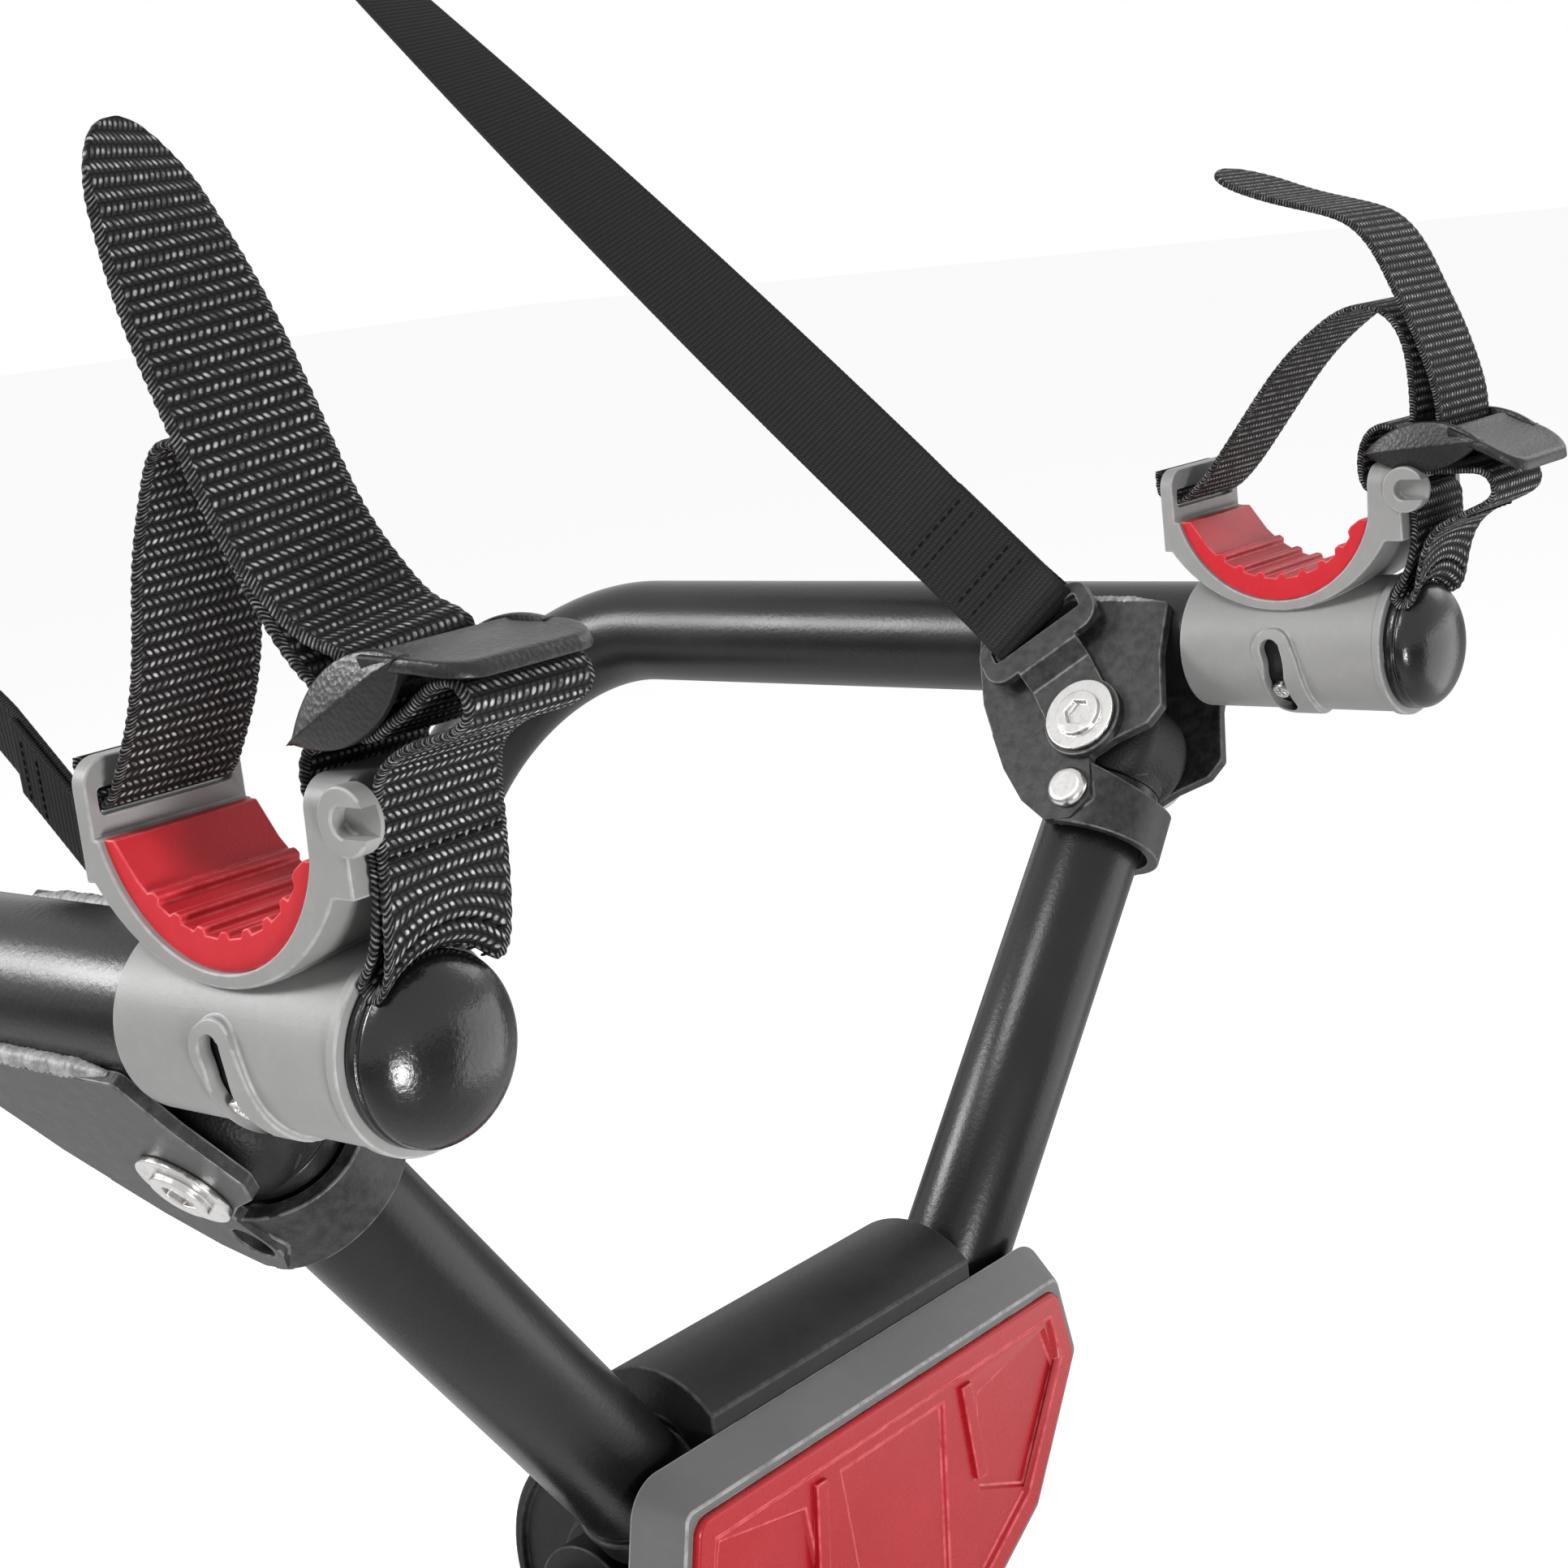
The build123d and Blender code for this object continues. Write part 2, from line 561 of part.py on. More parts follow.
RIM_PATH = [(41.9, 0.8), (43.1, -2.2), (43.6, -6.0), (43.8, -12.6)]
GUIDE_BEND_R = 8.0

front_x = TROUGH_BACK - math.sqrt(SEAT_ARC_R ** 2 - (SEAT_ARC_UP - INSERT_TOP) ** 2)
rear_x = TROUGH_BACK + math.sqrt(SEAT_ARC_R ** 2 - (SEAT_ARC_UP - INSERT_TOP) ** 2)

with BuildPart() as guide_rim:
    with BuildSketch(side_right):
        with BuildLine():
            FilletPolyline(*RIM_PATH, radius=GUIDE_BEND_R)
            offset(amount=GUIDE_RIM_W / 2)
        make_face()
    extrude(amount=OVERRUN)
    with BuildSketch(back_right.offset(BARREL_FRONT)):
        Circle(GUIDE_RIM_R)
    extrude(amount=BARREL_BACK - BARREL_FRONT, mode=Mode.INTERSECT)

# Trough shell with its two ears, rounded at their top corners
with BuildPart() as trough:
    with BuildSketch(side_right.offset(-TROUGH_SHIFT - SHELL_HALF)):
        with BuildLine():
            shell_l = TROUGH_BACK - math.sqrt(SHELL_ARC_R ** 2 - (SHELL_ARC_UP - EAR_FOOT) ** 2)
            shell_r = TROUGH_BACK + math.sqrt(SHELL_ARC_R ** 2 - (SHELL_ARC_UP - REAR_EAR_FOOT) ** 2)
            ThreePointArc((shell_l, EAR_FOOT), (TROUGH_BACK, SHELL_ARC_UP - SHELL_ARC_R),
                          (shell_r, REAR_EAR_FOOT))
            Polyline((shell_r, REAR_EAR_FOOT), (REAR_EAR_OUT, REAR_EAR_FOOT), (REAR_EAR_OUT, EAR_TOP),
                     (REAR_EAR_IN, EAR_TOP), (rear_x, INSERT_TOP))
            ThreePointArc((rear_x, INSERT_TOP), (TROUGH_BACK, SEAT_ARC_UP - SEAT_ARC_R), (front_x, INSERT_TOP))
            Polyline((front_x, INSERT_TOP), (FRONT_EAR_IN, INSERT_TOP), (FRONT_EAR_IN, EAR_TOP),
                     (FRONT_EAR_OUT, EAR_TOP), (FRONT_EAR_OUT, EAR_FOOT), (shell_l, EAR_FOOT))
        make_face()
    extrude(amount=2 * SHELL_HALF)
    with BuildSketch(back_right):
        with Locations((TROUGH_SHIFT, EAR_TOP - OVERRUN / 2)):
            RectangleRounded(2 * SHELL_HALF, OVERRUN, EAR_CORNER_R)
    extrude(amount=2 * OVERRUN, mode=Mode.INTERSECT)

with BuildPart() as cradle_right:
    # Barrel with end rings
    with BuildSketch(back_right.offset(BARREL_FRONT)):
        Circle(BARREL_R)
    extrude(amount=BARREL_BACK - BARREL_FRONT)
    with BuildSketch(back_right.offset(BARREL_BACK - FLANGE_RING)):
        Circle(FLANGE_RING_R)
    extrude(amount=FLANGE_RING)
    add(guide_rim.part)
    add(trough.part)
    # Hook ring on the near end of the rear ear
    with BuildSketch(side_right.offset(SHELL_HALF - TROUGH_SHIFT - HOOK_ROOT)):
        with Locations((HOOK_BACK, HOOK_UP)):
            Circle(HOOK_R)
    extrude(amount=HOOK_ROOT + HOOK_PROUD)
    with BuildSketch(side_right.offset(SHELL_HALF - TROUGH_SHIFT + HOOK_PROUD)):
        with Locations((HOOK_BACK, HOOK_UP)):
            Circle(HOOK_BORE_R)
        with Locations((HOOK_BACK + HOOK_R / 2, HOOK_UP)):
            Rectangle(HOOK_R, 2 * HOOK_BORE_R)
    extrude(amount=-2 * HOOK_PROUD, mode=Mode.SUBTRACT)
    # Webbing slots through both ears
    with BuildSketch(back_right):
        with Locations((TROUGH_SHIFT, SLOT_UP)):
            RectangleRounded(SLOT_W, SLOT_H, SLOT_CORNER_R)
    extrude(amount=2 * OVERRUN, mode=Mode.SUBTRACT)
    # Bore for the carrier and the guide slot for the stop screw
    with BuildSketch(back_right):
        Circle(BARREL_BORE_R)
    extrude(amount=2 * OVERRUN, mode=Mode.SUBTRACT)
    with BuildSketch(side_right):
        with BuildLine():
            FilletPolyline(*GUIDE_PATH, radius=GUIDE_BEND_R)
            offset(amount=GUIDE_W / 2)
        make_face()
    extrude(amount=OVERRUN, mode=Mode.SUBTRACT)

# Soft stepped liner of the trough
with BuildPart() as liner_right:
    with BuildSketch(side_right.offset(-TROUGH_SHIFT - INSERT_HALF)):
        with BuildLine():
            steps = []
            for i in range(STEP_COUNT):
                turn = STEP_SPAN / STEP_COUNT
                for share, radius in zip(STEP_SHARES, (STEP_R_OUT, STEP_R_OUT, STEP_R_IN, STEP_R_IN)):
                    angle = (i + share) * turn
                    a = math.radians(180 + (180 - STEP_SPAN) / 2 + STEP_LEAN + angle)
                    steps.append((TROUGH_BACK + radius * math.cos(a), STEP_ARC_UP + radius * math.sin(a)))
            Polyline((front_x, INSERT_TOP), (front_x + LINER_LIP, INSERT_TOP), *steps,
                     (rear_x - LINER_LIP, INSERT_TOP), (rear_x, INSERT_TOP))
            ThreePointArc((rear_x, INSERT_TOP), (TROUGH_BACK, SEAT_ARC_UP - SEAT_ARC_R), (front_x, INSERT_TOP))
        make_face()
    extrude(amount=2 * INSERT_HALF)
    with BuildSketch(back_right):
        Circle(BARREL_R)
    extrude(amount=2 * OVERRUN, mode=Mode.SUBTRACT)

# Buckle frame: two lens cheeks, three bars and a thumb plate. Sketches: x back along the cheek, y up
CHEEK_HALF = 13.6
CHEEK_RISE = 3.7
CHEEK_T = 2.6
CHEEK_NEAR = WEB_W / 2 + 0.5
BAR_SPACING = 8.6
BUCKLE_BAR_R = 1.9
THUMB_START = 9.5
THUMB_LENGTH = 15.0
THUMB_DROP = 3.5
THUMB_T = 2.6
THUMB_ROUND = 7.0
BUCKLE_LEFT = (79.5, 54.5, 27.0)
BUCKLE_RIGHT = (81.5, 47.0, 4.0)
ACROSS_TOLERANCE = 0.01


def on_buckle(seat, x, y):
    """Side sketch position of a point given along and above one buckle."""
    back, up, tilt = seat
    turned = math.radians(tilt)
    return (back + x * math.cos(turned) - y * math.sin(turned), up + x * math.sin(turned) + y * math.cos(turned))


def buckle_part(side, seat):
    """One buckle on its seat (back, up, tilt) beside a carrier."""
    back, up, tilt = seat
    turned = math.radians(tilt)
    frame = Plane(origin=side.from_local_coords((back, up, -TROUGH_SHIFT)),
                  x_dir=(0, -math.cos(turned), math.sin(turned)), z_dir=(-1, 0, 0))
    with BuildPart() as buckle:
        with BuildSketch(frame.offset(CHEEK_NEAR), frame.offset(-CHEEK_NEAR - CHEEK_T)):
            with BuildLine():
                ThreePointArc((-CHEEK_HALF, 0), (0, CHEEK_RISE), (CHEEK_HALF, 0))
                ThreePointArc((CHEEK_HALF, 0), (0, -CHEEK_RISE), (-CHEEK_HALF, 0))
            make_face()
        extrude(amount=CHEEK_T)
        with BuildSketch(frame.offset(-CHEEK_NEAR)):
            with Locations((-BAR_SPACING, 0), (0, 0), (BAR_SPACING, 0)):
                Circle(BUCKLE_BAR_R)
        extrude(amount=2 * CHEEK_NEAR)
        # Thumb plate behind the last bar
        with BuildSketch(frame.offset(-CHEEK_NEAR - CHEEK_T)):
            with BuildLine():
                Polyline((THUMB_START - THUMB_T, THUMB_T / 2), (THUMB_START + THUMB_LENGTH, THUMB_T - THUMB_DROP),
                         (THUMB_START + THUMB_LENGTH, -THUMB_DROP), (THUMB_START, -THUMB_T / 2), close=True)
            make_face()
        extrude(amount=2 * (CHEEK_NEAR + CHEEK_T))
        corners = buckle.edges().filter_by(lambda e: abs((e @ 0 - e @ 1).X) < ACROSS_TOLERANCE)
        fillet(corners.sort_by(Axis(frame.origin, frame.x_dir))[-2:], radius=THUMB_ROUND)
    return buckle


buckle_right = buckle_part(side_right, BUCKLE_RIGHT)
buckle_left = buckle_part(side_left, BUCKLE_LEFT)

# Webbing of the cradles, drawn from the side along its middle: x back, y up
WRAP_R = BUCKLE_BAR_R + WEB_T / 2 + 0.15
WRAP_SIDE = WRAP_R * math.cos(math.radians(45))
TIP_R = 12.6
STRAP_START = [(10.9, 50), (10.9, 44), (11.3, 38.6), (13.2, 36.6), (16.8, 36.6)]
ARCH_LEFT = [(20.4, 39.6), (25.5, 47.5), (30.6, 58.5), (35, 72.8), (40.6, 84.2), (47, 90.8), (53, 90.6),
             (57.8, 85.6), (62, 77), (67.5, 67.2), (73.4, 57.6)]
TAIL_LEFT = [(80.6, 60.8), (76.4, 63.2), (71.4, 68.4), (67.2, 76), (64.2, 85.5), (61, 97), (57, 110.5),
             (50.5, 136)]
ARCH_RIGHT = [(21.2, 38.6), (29.5, 47.3), (38.3, 57.8), (47, 67.2), (56, 74.2), (65, 78.3), (72, 77.4),
              (76.6, 72.2), (78.4, 64), (78.5, 54)]
TAIL_RIGHT = [(84.8, 51.5), (84.6, 57), (82.8, 64.5), (79.6, 73.5), (75.8, 82), (71.4, 91), (66, 97),
              (58, 100.5), (46.4, 103.9), (27.9, 111.4)]
BAR_TURN = [(-WRAP_R, 0), (-WRAP_SIDE, -WRAP_SIDE), (0, -WRAP_R), (WRAP_SIDE, -WRAP_SIDE), (WRAP_R, 0)]
ANCHOR_LOW = [(72.1, 36.5), (74.8, 36.3), (76.8, 35), (77.2, 32), (77.1, 28), (75.7, 23.8), (72.6, 20),
              (71.2, 18.2), (72.2, 16.7), (74.4, 16.8), (76.4, 19.2)]
ANCHOR_LEFT = [(78.3, 24), (79.1, 30), (79.6, 37.5), (81, 43), (85, 46.3), (92, 48.8), (98.2, 50.6),
               (100.9, 53.4), (99.6, 56.4), (95.6, 56.9), (90, 53.8), (84, 50.5)]
ANCHOR_LEFT_WRAP = [(-3.2, -4.9), (-5.1, -2.6), (-5.6, 0), (-6.5, 2.1), (-8.6, 3), (-10.7, 2.1), (-11.6, 0)]
ANCHOR_LEFT_END = [(66.4, 46.2), (65, 42), (65.7, 38.4), (68, 36.7), (71.7, 36.5)]
ANCHOR_RIGHT = [(78.1, 22.6), (80.9, 26.8), (85.4, 29.7), (92.6, 32.7), (96.8, 36), (95.6, 39.8), (90, 41.2),
                (84, 41.2), (79.6, 41.6), (76.6, 44), (75.7, 47), (74.8, 49.8), (71.6, 51.6), (67.6, 50.3),
                (65.3, 46.6), (64.7, 41.8), (65.9, 38), (68.4, 36.6), (71.7, 36.5)]


def webbing_part(side, path):
    """Flat webbing that follows a side path over the width of the trough slots."""
    middle = Spline(*path)
    at = [middle.param_at_point(point) for point in path]
    at = sorted(at + [(a + b) / 2 for a, b in zip(at, at[1:])])
    upper = []
    lower = []
    for share in at:
        along = middle % share
        off = Vector(-along.Y, along.X) * (WEB_T / 2)
        upper.append(middle @ share + off)
        lower.append(middle @ share - off)
    with BuildPart() as webbing:
        with BuildSketch(side.offset(-TROUGH_SHIFT - WEB_W / 2)):
            with BuildLine():
                one = Spline(*upper)
                two = Spline(*lower)
                Line(one @ 0, two @ 0)
                Line(one @ 1, two @ 1)
            make_face()
        extrude(amount=WEB_W)
    return webbing


def bike_strap_part(side, seat, arch, tail):
    """Webbing from the front ear over the bike's tube, round the middle bar and up to its rounded tip."""
    turn = [on_buckle(seat, x, y) for x, y in BAR_TURN]
    with BuildPart() as strap:
        add(webbing_part(side, STRAP_START + arch + turn + tail).part)
        last = Vector(*tail[-1])
        along = (last - Vector(*tail[-2])).normalized()
        tip = Plane(origin=side.from_local_coords((last.X, last.Y, -TROUGH_SHIFT)), x_dir=(1, 0, 0),
                    z_dir=(0, along.Y, along.X))
        with BuildSketch(tip):
            with Locations((0, -TIP_R / 2), (0, TIP_R / 2)):
                Rectangle(2 * TIP_R, TIP_R)
            with Locations((0, TIP_R)):
                Circle(TIP_R, mode=Mode.SUBTRACT)
        extrude(amount=TIP_R / 2, both=True, mode=Mode.SUBTRACT)
    return strap


bike_strap_left = bike_strap_part(side_left, BUCKLE_LEFT, ARCH_LEFT, TAIL_LEFT)
bike_strap_right = bike_strap_part(side_right, BUCKLE_RIGHT, ARCH_RIGHT, TAIL_RIGHT)
wrap_left = [on_buckle(BUCKLE_LEFT, x, y) for x, y in ANCHOR_LEFT_WRAP]
anchor_strap_left = webbing_part(side_left, ANCHOR_LOW + ANCHOR_LEFT + wrap_left + ANCHOR_LEFT_END)
anchor_strap_right = webbing_part(side_right, ANCHOR_LOW + ANCHOR_RIGHT)

# Strap plate on the pivot bolt: x along the webbing slot, y away from the bolt
PLATE_ALONG = (0.659, -0.752)
EYE_R = 10.2
HEAD_AT = 27.4
HEAD_W = 33.0
HEAD_H = 14.6
HEAD_CORNER_R = 5.5
NECK_FROM = 4.0
NECK_TO = 22.0
NECK_HALF = 8.6
SLOT_AT = 28.7
SLOT_GAP = 4.2
JOG_FROM = 15.0
JOG_TO = 19.5
JOG_LIFT = 3.4
strap_across = Vector(0, 1, 0) * PLATE_ALONG[1] - Vector(*DOWN_ARM) * PLATE_ALONG[0]
strap_out = Vector(0, 1, 0) * PLATE_ALONG[0] + Vector(*DOWN_ARM) * PLATE_ALONG[1]
strap_plane = Plane(origin=knuckle.from_local_coords((PIVOT_U, PIVOT_V, STRAP_PLATE_LOW)), x_dir=strap_across,
                    z_dir=INWARD)
strap_side = Plane(origin=strap_plane.origin, x_dir=strap_out, z_dir=strap_across)
mid_low = STRAP_PLATE_T / 2
with BuildPart() as strap_plate_right:
    with BuildSketch(strap_side):
        with BuildLine():
            Polyline((-EYE_R, mid_low), (JOG_FROM, mid_low), (JOG_TO, mid_low + JOG_LIFT),
                     (HEAD_AT + HEAD_H, mid_low + JOG_LIFT))
        trace(line_width=STRAP_PLATE_T)
    extrude(amount=HEAD_W, both=True)
    with BuildSketch(strap_plane):
        Circle(EYE_R)
        with Locations((0, (NECK_FROM + NECK_TO) / 2)):
            Rectangle(2 * NECK_HALF, NECK_TO - NECK_FROM)
        with Locations((0, HEAD_AT)):
            RectangleRounded(HEAD_W, HEAD_H, HEAD_CORNER_R)
        with Locations((0, SLOT_AT)):
            RectangleRounded(SLOT_W, SLOT_GAP, SLOT_CORNER_R, mode=Mode.SUBTRACT)
        Circle(BOLT_HOLE_R, mode=Mode.SUBTRACT)
    extrude(amount=OVERRUN, both=True, mode=Mode.INTERSECT)

# Top strap: sewn round the outer bar of the plate, then twisted flat on its way up to the hook
TOP_RISE = (0, 0.751, 0.66)
TOP_LENGTH = 322.0
SEWN_LENGTH = 40.0
SEWN_T = 2 * WEB_T + 0.1
EYE_GAP = 0.25
SECTIONS = 8
top_bar = (HEAD_AT + HEAD_H / 2 + SLOT_AT + SLOT_GAP / 2) / 2
bar_half = (HEAD_AT + HEAD_H / 2 - SLOT_AT - SLOT_GAP / 2) / 2
loop_r = math.hypot(bar_half, mid_low) + EYE_GAP
top_start = strap_side.from_local_coords((top_bar, mid_low + JOG_LIFT, 0))
rise = Vector(*TOP_RISE).normalized()
flat_across = (strap_across - rise * strap_across.dot(rise)).normalized()
twist = math.acos(flat_across.X)
out_rise = (rise - strap_across * strap_across.dot(rise)).normalized()


def strap_station(distance):
    """Plane across the top strap at a distance from the plate; x runs over its width."""
    share = min(max((distance - SEWN_LENGTH) / (TOP_LENGTH - 2 * SEWN_LENGTH), 0), 1)
    across = flat_across * math.sin((1 - share) * twist) + Vector(1, 0, 0) * math.sin(share * twist)
    return Plane(origin=top_start + rise * distance, x_dir=across, z_dir=rise)


def strap_run(start, stop, thickness):
    """Planes and thickness for one run of the top strap."""
    return [(strap_station(start + (stop - start) * i / SECTIONS), thickness) for i in range(SECTIONS + 1)]


hook_station = strap_station(TOP_LENGTH)
with BuildPart() as top_strap_right:
    # Loop round the bar of the plate and the first sewn length
    with BuildSketch(strap_side.offset(-WEB_W / 2)):
        with Locations((top_bar, mid_low + JOG_LIFT)):
            Circle(loop_r + WEB_T)
            Circle(loop_r, mode=Mode.SUBTRACT)
    extrude(amount=WEB_W)
    with BuildSketch(Plane(origin=top_start + out_rise * loop_r, x_dir=strap_across, z_dir=out_rise)):
        Rectangle(WEB_W, SEWN_T)
    with BuildSketch(strap_station(SEWN_LENGTH / 2)):
        Rectangle(WEB_W, SEWN_T)
    with BuildSketch(strap_station(SEWN_LENGTH)):
        Rectangle(WEB_W, SEWN_T)
    loft()
    # Single twisted run, then the sewn length before the hook
    for station, thickness in strap_run(SEWN_LENGTH, TOP_LENGTH - SEWN_LENGTH, WEB_T):
        with BuildSketch(station):
            Rectangle(WEB_W, thickness)
    loft()
    with BuildSketch(strap_station(TOP_LENGTH - SEWN_LENGTH)):
        Rectangle(WEB_W, SEWN_T)
    extrude(amount=SEWN_LENGTH - loop_r)
    hook_side = Plane(origin=hook_station.origin, x_dir=rise, z_dir=hook_station.x_dir)
    with BuildSketch(hook_side.offset(-WEB_W / 2)):
        Circle(loop_r + WEB_T)
        Circle(loop_r, mode=Mode.SUBTRACT)
    extrude(amount=WEB_W)

# Flat steel hook with a dipped coat: x away from the webbing, y up off the hatch
HOOK_W = 33.0
HOOK_T = 2.2
HOOK_FLAT = 30.0
HOOK_BEND_R = 6.5
HOOK_LIP = 9.0
HOOK_CORNER_R = 5.0
with BuildPart() as top_hook_right:
    with BuildSketch(hook_side):
        with BuildLine():
            flat = Line((-bar_half, 0), (HOOK_FLAT, 0))
            turn = JernArc(flat @ 1, flat % 1, HOOK_BEND_R, -160)
            Line(turn @ 1, turn @ 1 + Vector(turn % 1) * HOOK_LIP)
        trace(line_width=HOOK_T)
    extrude(amount=HOOK_W / 2, both=True)
    with BuildSketch(Plane(origin=hook_station.origin, x_dir=hook_station.x_dir, z_dir=hook_side.y_dir)):
        with Locations((0, bar_half + SLOT_GAP / 2), (0, -bar_half - SLOT_GAP / 2)):
            RectangleRounded(SLOT_W, SLOT_GAP, SLOT_CORNER_R)
    extrude(amount=HOOK_T, both=True, mode=Mode.SUBTRACT)

# Lower legs: lugs on the axle, tubes forward and down, foam pads with a flat
AXLE_END = 57.0
LUG_R = 13.5
LUG_T = 9.0
LUG_FROM = DRUM_HALF + RUN_FIT
LEG_X = 64.0
LEG_WAY = (0.167, 0.48, -0.861)
LEG_NECK_FROM = 5.0
LEG_TUBE_FROM = 22.0
LEG_SPIGOT = 18.0
LEG_PAD_FROM = 190.0
LEG_PAD_LENGTH = 80.0
LEG_TUBE_TO = LEG_PAD_FROM + LEG_PAD_LENGTH + LEG_PAST_PAD
leg_way = Vector(*LEG_WAY).normalized()
leg_origin = Vector(LEG_X, lower_axis.origin.Y, lower_axis.origin.Z)
leg_flat = (Vector(0, 1, 0) - leg_way * leg_way.Y).normalized()
leg = Plane(origin=leg_origin, x_dir=leg_flat, z_dir=leg_way)

with BuildPart() as hinge_axle:
    with BuildSketch(lower_axis.offset(-AXLE_END)):
        Circle(AXLE_R)
    extrude(amount=2 * AXLE_END)

with BuildPart() as lower_lug_right:
    with BuildSketch(lower_axis.offset(LUG_FROM)):
        Circle(LUG_R)
    extrude(amount=LUG_T)
    with BuildSketch(leg.offset(LEG_NECK_FROM)):
        Circle(ARM_R)
    extrude(amount=LEG_TUBE_FROM - LEG_NECK_FROM)
    with BuildSketch(leg.offset(LEG_TUBE_FROM)):
        Circle(ARM_R - TUBE_WALL)
    extrude(amount=LEG_SPIGOT)
    with BuildSketch(lower_axis):
        Circle(AXLE_R)
    extrude(amount=AXLE_END, mode=Mode.SUBTRACT)
    # Nothing crosses into the drum
    with BuildSketch(lower_axis.offset(LUG_FROM)):
        Circle(DRUM_R)
    extrude(amount=-LUG_FROM, mode=Mode.SUBTRACT)

with BuildPart() as lower_leg_right:
    with BuildSketch(leg.offset(LEG_TUBE_FROM)):
        Circle(ARM_R)
        Circle(ARM_R - TUBE_WALL, mode=Mode.SUBTRACT)
    extrude(amount=LEG_TUBE_TO - LEG_TUBE_FROM)

with BuildPart() as lower_pad_right:
    with BuildSketch(leg.offset(LEG_PAD_FROM)):
        Circle(PAD_R)
    extrude(amount=LEG_PAD_LENGTH)
    fillet(lower_pad_right.edges().filter_by(GeomType.CIRCLE), radius=PAD_ROUND / 2)
    with BuildSketch(leg):
        with Locations((PAD_FLAT + OVERRUN / 2, 0)):
            Rectangle(OVERRUN, OVERRUN)
    extrude(amount=LEG_TUBE_TO, mode=Mode.SUBTRACT)
    with BuildSketch(leg):
        Circle(ARM_R)
    extrude(amount=LEG_TUBE_TO, mode=Mode.SUBTRACT)

with BuildPart() as lower_plug_right:
    with BuildSketch(leg.offset(LEG_TUBE_TO)):
        Circle(ARM_R)
    extrude(amount=PLUG_T)
    fillet(lower_plug_right.edges().filter_by(GeomType.CIRCLE).sort_by(Axis.Z)[0], radius=PLUG_ROUND)
    with BuildSketch(leg.offset(LEG_TUBE_TO)):
        Circle(ARM_R - TUBE_WALL)
    extrude(amount=-PLUG_DEPTH)

# Files: single pieces, mirrored pairs and copied pairs
single = {
    "hub_housing": hub_housing, "hub_trim": hub_trim, "hub_cover": hub_cover, "hub_bolts": hub_bolts,
    "hinge_axle": hinge_axle, "carrier_right": carrier_right, "carrier_left": carrier_left,
    "stop_screw_right": stop_screw_right, "cradle_right": cradle_right, "liner_right": liner_right,
    "buckle_right": buckle_right, "buckle_left": buckle_left, "bike_strap_right": bike_strap_right,
    "bike_strap_left": bike_strap_left, "anchor_strap_right": anchor_strap_right,
    "anchor_strap_left": anchor_strap_left,
}
mirrored = {
    "arm_right": arm_right, "arm_plug_right": arm_plug_right, "arm_spigot_right": arm_spigot_right,
    "bracket_right": bracket_right, "weld_right": weld_right,
    "pivot_bolt_right": pivot_bolt_right, "lock_pin_right": lock_pin_right, "end_cap_right": end_cap_right,
    "rest_pad_right": rest_pad_right, "rest_plug_right": rest_plug_right,
    "strap_plate_right": strap_plate_right, "top_strap_right": top_strap_right,
    "top_hook_right": top_hook_right, "lower_lug_right": lower_lug_right, "lower_leg_right": lower_leg_right,
    "lower_pad_right": lower_pad_right, "lower_plug_right": lower_plug_right,
}
copied = {"cradle_left": cradle_right, "liner_left": liner_right, "stop_screw_left": stop_screw_right}
for name, built in (single | mirrored).items():
    built.part.label = name
    export_step(built.part, "parts/" + name + ".step")
for name, built in mirrored.items():
    with BuildPart() as other:
        mirror(built.part, about=Plane.YZ)
    other.part.label = name.replace("right", "left")
    export_step(other.part, "parts/" + other.part.label + ".step")
for name, built in copied.items():
    with BuildPart() as other:
        with Locations(LEFT_SHIFT):
            add(built.part)
    other.part.label = name
    export_step(other.part, "parts/" + name + ".step")
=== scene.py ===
"""Dresses the trunk mounted bike rack.

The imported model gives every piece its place. This script makes the finer
pieces that stand for the solids, lays the webbing, gives each surface its
finish and sets up the studio.
"""

import json
import logging
import math
from abc import ABC, abstractmethod
from dataclasses import dataclass
from enum import Enum
from typing import Callable, Iterable, Sequence

import bmesh
import bpy
import numpy as np
from mathutils import Matrix, Vector
from mathutils.bvhtree import BVHTree
from mathutils.kdtree import KDTree

